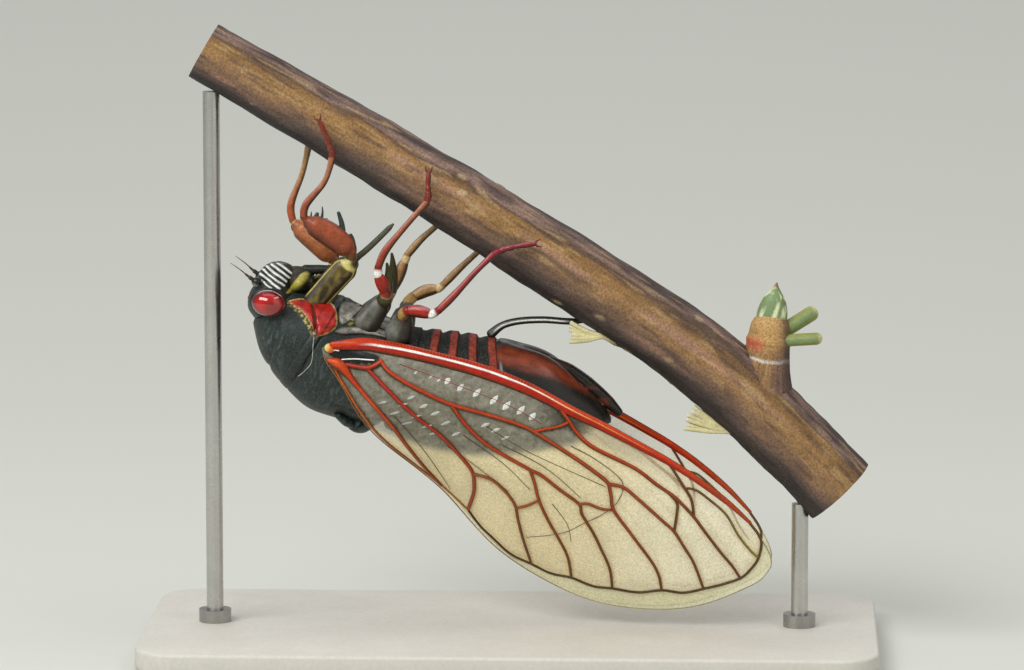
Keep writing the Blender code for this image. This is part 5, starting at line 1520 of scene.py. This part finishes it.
# Rings of a cut end, as shares of its radius: bark, wood and pith
CUT_RINGS = np.array([1.0, 0.93, 0.9] + [0.86 - 0.06 * i for i in range(14)])
STUMP = ((-28.55, 0, -5.6), (-28.25, 0, -8.4), (-27.95, 0, -10.4))
STUMP_RADII = (2.5, 1.78, 1.45)
BUD = ((-27.95, 0, -10.3), (-27.8, 0, -11.4), (-27.6, 0, -12.7), (-27.45, 0, -13.8))
BUD_RADII = (1.0, 1.1, 0.8, 0.06)
BUD_MIDDLE = (-27.7, 0, -12.0)
STALKS = (
    ((-28.5, 0.2, -10.2), (-30.4, 0.5, -12.3), 0.6),
    ((-28.4, -0.3, -9.8), (-31.2, -0.9, -10.9), 0.48),
)
# The bark's colour by how high a point lies on the twig, from -1 underneath to 1 on top, darkest underneath
# as painted shade, with a painted highlight band just above the middle and dark and pinkish bands along the
# top
BARK_WITH_PAINTED_LIGHT = (
    (-1.0, srgb(40, 34, 32)), (-0.75, srgb(50, 42, 39)), (-0.5, srgb(82, 68, 62)),
    (-0.25, srgb(114, 88, 68)), (0.0, srgb(140, 106, 70)), (0.25, srgb(148, 112, 66)),
    (0.5, srgb(130, 96, 54)), (0.66, srgb(86, 64, 48)), (0.8, srgb(132, 106, 94)),
    (1.0, srgb(64, 50, 46)),
)


def ramp(stops, x):
    """Colours read from a table of (x, colour) rows in rising x."""
    xs, colours = (np.array(column) for column in zip(*stops))
    return np.stack([np.interp(x, xs, colour) for colour in colours.T], axis=-1)


def bark_tint(rings, turn, high):
    """Brown bark in long streaks with purple-grey and pink patches, by how high each point lies, so that it
    carries painted shade underneath and a painted highlight above the middle.
    """
    steps = np.linalg.norm(np.diff(rings.mean(1), axis=0), axis=1)
    run = np.r_[0, np.cumsum(steps)][:, None] * np.ones(rings.shape[1])
    wound = np.stack([run / 7, 2.4 * np.cos(turn), 2.4 * np.sin(turn)], axis=-1)
    # Painted light and shade by height on the twig
    tint = ramp(BARK_WITH_PAINTED_LIGHT, high + 0.22 * grain(wound, 0.6) + 0.1 * grain(wound, 0.2))
    pink = smooth(0.1, 0.45, grain(wound, 1.0, 5.0)) * window(-0.45, 0.35, 0.2, high)
    tint = mix(tint, srgb(160, 122, 102), 0.75 * pink)
    tint = mix(tint, srgb(76, 58, 50), 0.6 * smooth(0.15, 0.5, grain(wound, 0.35, 9.0)))
    pale = smooth(0.25, 0.5, grain(wound, 0.3, 3.0)) * smooth(-0.4, 0.1, high)
    return mix(tint, srgb(176, 146, 100), 0.45 * pale)


def make_twig():
    """The cut length of twig with its bark, bud, side shoot and raised splinters."""
    piece = Piece()
    t = np.linspace(0, len(TWIG_PATH) - 1, 420)
    path = hermite(TWIG_PATH, t)
    radius = hermite(TWIG_RADII, t)
    rings = tube(path, radius, radius, 160, capped=False)
    centres = pores()
    lumps = 0.1 * grain(rings * (0.4, 1, 1), 1.6) + 0.05 * grain(rings * (0.3, 1, 1), 0.5) - 0.12
    for centre in centres:
        lumps = lumps + 0.1 * smooth(0.3, 0.1, from_pore(rings, centre))
    rings = path[:, None] + (rings - path[:, None]) * (1 + lumps / radius[:, None])[..., None]
    turn = places(rings)[1]
    tint = bark_tint(rings, turn, np.sin(turn))
    for centre in centres:
        tint = mix(tint, srgb(176, 152, 116), 0.7 * smooth(0.32, 0.12, from_pore(rings, centre)))
    piece.rings(rings, tint, closed=False)
    for end in (0, -1):
        add_cut_end(piece, rings[end], path[end])
    add_stump(piece)
    add_bud(piece)
    for root, reach, width, seed in EGG_SLITS:
        add_splinters(piece, np.array(root), np.array(reach), width, seed)
    piece.make("twig_bark", ["bark", "bud", "straw"], ["twig"])


def pores():
    """Where the bark's small pale pores stand."""
    chance = random.Random(PORE_SEED)
    found = []
    for _ in range(PORES):
        t = chance.uniform(0.1, len(TWIG_PATH) - 1.1)
        turn = chance.uniform(0, 2 * math.pi)
        out = np.array((0.28 * math.sin(turn), math.cos(turn), math.sin(turn)))
        found.append(hermite(TWIG_PATH, t) + 2.5 * out)
    return found


def from_pore(rings, centre):
    """How far points lie from the middle of a pore."""
    return np.linalg.norm((rings - centre) * PORE_SHAPE, axis=-1)


def add_cut_end(piece, rim, middle):
    """The sawn end of the twig: bark, pale wood with year rings, and pith."""
    rings = middle + (rim - middle) * CUT_RINGS[:, None, None]
    colour = mix(srgb(214, 190, 146), srgb(176, 140, 92), 0.5 + 0.5 * np.cos(CUT_RINGS * 40))
    colour[:2] = srgb(92, 70, 52)
    colour[-2:] = srgb(150, 110, 70)
    piece.rings(rings, colour[:, None], 2)


def add_stump(piece):
    """The side shoot's stump, with the scar round it, its bark coloured by the twig's painted light and
    shade turned towards the head's end, and with painted shade on its rear side.
    """
    path = curve(STUMP, 0.1)
    f = shares(path)
    half = hermite(STUMP_RADII, f * 2) + 0.1 * peak(f - 0.86, 0.05)
    rings = tube(path, half, half, 96)
    along, turn = places(rings)
    ahead = np.sin(turn)
    # The twig's painted light and shade, turned towards the head's end
    tint = bark_tint(rings, turn, 0.55 * ahead + 0.1)
    tint = mix(tint, srgb(190, 150, 92), 0.75 * smooth(0.6, 0.85, along + 0.06 * grain(rings, 0.6)))
    tint = mix(tint, srgb(190, 78, 56), 0.7 * window(0.7, 0.84, 0.05, along) * smooth(0.0, 0.5, ahead))
    tint = mix(tint, CHALK, 0.6 * window(0.575, 0.605, 0.02, along + 0.03 * grain(rings, 1.0)))
    # Painted shade on the rear side
    tint = mix(tint, srgb(60, 46, 40), 0.7 * smooth(-0.35, -0.85, ahead))
    piece.rings(rings, tint)


def add_bud(piece):
    """The green bud with its scales, and two cut leaf stalks."""
    path = curve(BUD, 0.06)
    half = hermite(BUD_RADII, shares(path) * 3)
    rings = tube(path, half * 0.85, half, 64)
    along, turn = places(rings)
    edge = np.abs(np.cos(turn) - 0.25 + 0.9 * along)
    rings = rings - 0.06 * peak(edge, 0.06)[..., None] * unit(rings - np.array(BUD_MIDDLE))
    tint = mix(LEAF, srgb(214, 218, 176), smooth(0.0, 0.5, grain(rings * (1, 1, 0.15), 0.25)))
    tint = mix(tint, srgb(108, 116, 76), 0.6 * peak(edge, 0.05))
    tint = mix(tint, srgb(120, 36, 34), 0.75 * window(0.86, 0.97, 0.03, along))
    piece.rings(rings, tint, 1)
    for foot, end, half in STALKS:
        rings = tube(curve((foot, end), 0.1), half, half * 0.9, 36)
        along, turn = places(rings)
        tint = mix(LEAF, OLIVE, 0.4 + 0.3 * np.cos(3 * turn))
        piece.rings(rings, mix(tint, srgb(200, 190, 140), smooth(0.93, 0.99, along)), 1)


def add_splinters(piece, root, reach, width, seed):
    """A fan of frayed straws where the twig was slit for eggs."""
    chance = random.Random(seed)
    across = unit(np.array((reach[2], 0, -reach[0])))
    start = root - unit(reach) * 0.9 - across * 0.35
    for i in range(SPLINTERS):
        place = (i / (SPLINTERS - 1) - 0.5) * width
        length = 1.0 - 0.16 * chance.random()
        lift = 0.3 * (chance.random() - 0.5)
        middle = root + reach * (0.5 * length) + across * (0.45 * place - 0.1) + (0, lift * 0.5, 0)
        tip = root + reach * length + across * place + (0, lift, 0)
        path = curve((start, root, middle, tip), 0.08)
        rings = tube(path, 0.1, 0.21 - 0.05 * shares(path), 16)
        along, turn = places(rings)
        shade = 0.75 * smooth(0.4, 0.05, along) + 0.55 * smooth(0.75, 0.98, np.abs(np.sin(turn)))
        piece.rings(rings, mix(mix(STRAW, UMBER, shade), CHALK, 0.3 * smooth(0.8, 1.0, along)), 2)


# Stand

# The base's rounded corners and softened edges, and the feet of its rods
STAND_CORNER = 3.0
STAND_EDGE = 0.25
ROD_SUNK = 0.3
FOOT_RADIUS = 1.15
FOOT_HIGH = 0.9
BASE_TINT = srgb(206, 202, 192)
ROD_TINT = srgb(196, 194, 190)
FOOT_TINT = srgb(170, 168, 164)


def base_outline(length, depth, inset, z):
    """The base's outline at one height, drawn in by inset."""
    points = []
    for turn, x_side, y_side in ((0, 1, 1), (90, -1, 1), (180, -1, -1), (270, 1, -1)):
        for angle in np.radians(np.linspace(turn, turn + 90, 13)):
            x = x_side * (length / 2 - STAND_CORNER) + (STAND_CORNER - inset) * math.cos(angle)
            y = y_side * (depth / 2 - STAND_CORNER) + (STAND_CORNER - inset) * math.sin(angle)
            points.append((x, y, z))
    return points


def make_stand():
    """The flat base with softened edges, and the two rods."""
    low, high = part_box("stand_base")
    length, depth, thick = (high - low) / MM
    bend = np.linspace(0, math.pi / 2, 5)
    near, far = STAND_EDGE * (1 - np.sin(bend)), STAND_EDGE * (1 - np.cos(bend))
    rings = [base_outline(length, depth, inset, z) for inset, z in zip(near, far)]
    rings += [base_outline(length, depth, inset, thick - z) for inset, z in zip(far, near)]
    piece = Piece()
    piece.rings(np.array(rings), BASE_TINT)
    piece.make("stand_base_slab", ["stand"], ["stand_base"], False, SHARP_ON_STAND)
    for name in ("high", "low"):
        low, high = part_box(f"stand_rod_{name}")
        middle, radius = (low.x + high.x) / 2 / MM, (high.x - low.x) / 2 / MM
        foot, top = low.z / MM - ROD_SUNK, high.z / MM
        piece = Piece()
        for end, half, rows, tint in (
            (top, radius, 30, ROD_TINT),
            (foot + FOOT_HIGH, FOOT_RADIUS, 8, FOOT_TINT),
        ):
            path = np.array([(middle, 0, z) for z in np.linspace(foot, end, rows)])
            piece.rings(tube(path, half, half, 48, capped=False), tint)
        piece.make(f"stand_rod_{name}_bar", ["rod"], [f"stand_rod_{name}"], False, SHARP_ON_STAND)


# Stage

CAMERA_AZIMUTH = 2.5
CAMERA_ELEVATION = 8.65
FRAME_WIDTH_MM = 72.6
AIM_RIGHT_MM = 11.49
AIM_UP_MM = 1.77
LENS = 200.0
SENSOR = 36.0
# Metres from the camera between which things show
CLIP = (0.01, 10)
FLOOR_COLOUR = srgb(206, 208, 200)
FLOOR_ROUGHNESS = 0.9
FLOOR_SHINE = 0.1
# The floor in metres: how far it reaches, where it begins to rise, over what depth and how high
FLOOR_REACH = 1.5
RISE_FROM = 0.1
RISE_DEPTH = 0.35
RISE_HIGH = 0.035
# Each lamp: its place, its width and height, its power and the point it is turned to
LIGHTS = {
    "key": ((-0.17, -0.22, 0.25), (0.3, 0.13), 1.05, (0, 0, 0.02)),
    "fill": ((0.3, -0.25, 0.14), (0.3, 0.3), 0.16, (0, 0, 0.02)),
    "top": ((0.0, 0.05, 0.4), (0.35, 0.35), 0.4, (0, 0, 0)),
    "tail": ((0.22, -0.06, 0.3), (0.26, 0.07), 0.2, (0, 0, 0.02)),
    "rear": ((0.0, 0.55, 0.4), (0.8, 0.3), 0.9, (0, 0.38, 0)),
}
ROOM_LIGHT = 0.28


def turned(ahead):
    """The turn that makes a camera or lamp look ahead."""
    return ahead.to_track_quat("-Z", "Y").to_euler()


def make_camera():
    azimuth, elevation = math.radians(CAMERA_AZIMUTH), math.radians(CAMERA_ELEVATION)
    right = Vector((math.cos(azimuth), math.sin(azimuth), 0))
    level = Vector((-math.sin(azimuth), math.cos(azimuth), 0))
    ahead = level * math.cos(elevation) - Vector((0, 0, math.sin(elevation)))
    up = right.cross(ahead)
    aim = Vector((THORAX_X, 0, THORAX_Z)) + right * AIM_RIGHT_MM + up * AIM_UP_MM
    distance = FRAME_WIDTH_MM * LENS / SENSOR
    data = bpy.data.cameras.new("camera")
    data.lens = LENS
    data.sensor_width = SENSOR
    data.clip_start, data.clip_end = CLIP
    camera = put("camera", data)
    camera.location = (aim - ahead * distance) * MM
    camera.rotation_euler = turned(ahead)
    bpy.context.scene.camera = camera


def make_stage():
    """A pale floor that rises a little behind the model, and large soft lights."""
    paint = bpy.data.materials.new("floor")
    paint.use_nodes = True
    shader = paint.node_tree.nodes["Principled BSDF"]
    shader.inputs["Base Color"].default_value = (*FLOOR_COLOUR, 1)
    shader.inputs["Roughness"].default_value = FLOOR_ROUGHNESS
    shader.inputs["Specular IOR Level"].default_value = FLOOR_SHINE
    rise = [(RISE_FROM + RISE_DEPTH * f, RISE_HIGH * float(smooth(0, 1, f))) for f in np.linspace(0, 1, 25)]
    profile = [(-FLOOR_REACH, 0.0)] + rise + [(FLOOR_REACH, RISE_HIGH)]
    points = [(x, y, z) for y, z in profile for x in (-FLOOR_REACH, FLOOR_REACH)]
    faces = [(2 * i, 2 * i + 1, 2 * i + 3, 2 * i + 2) for i in range(len(profile) - 1)]
    mesh = bpy.data.meshes.new("floor")
    mesh.from_pydata(points, [], faces)
    mesh.materials.append(paint)
    mesh.shade_smooth()
    put("floor", mesh)
    for name, (place, size, power, aim) in LIGHTS.items():
        data = bpy.data.lights.new(name, "AREA")
        data.shape = "RECTANGLE"
        data.size, data.size_y = size
        data.energy = power
        light = put(name, data)
        light.location = place
        light.rotation_euler = turned(Vector(aim) - Vector(place))
    room = bpy.data.worlds.new("studio")
    room.use_nodes = True
    background = room.node_tree.nodes["Background"]
    background.inputs["Color"].default_value = (1, 1, 1, 1)
    background.inputs["Strength"].default_value = ROOM_LIGHT
    bpy.context.scene.world = room
    bpy.context.scene.view_settings.view_transform = "Standard"


make_camera()
make_stage()
make_body()
make_tail()
make_ovipositor()
make_head()
for side, name in SIDES:
    make_eye(side, name)
for side, name in SIDES:
    make_antenna(side, name)
make_beak()
for side, name in SIDES:
    make_fore_wing(side, name)
    make_hind_wing(side, name)
for leg, side, *paths in LEGS:
    make_leg(leg, side, paths)
make_twig()
make_stand()
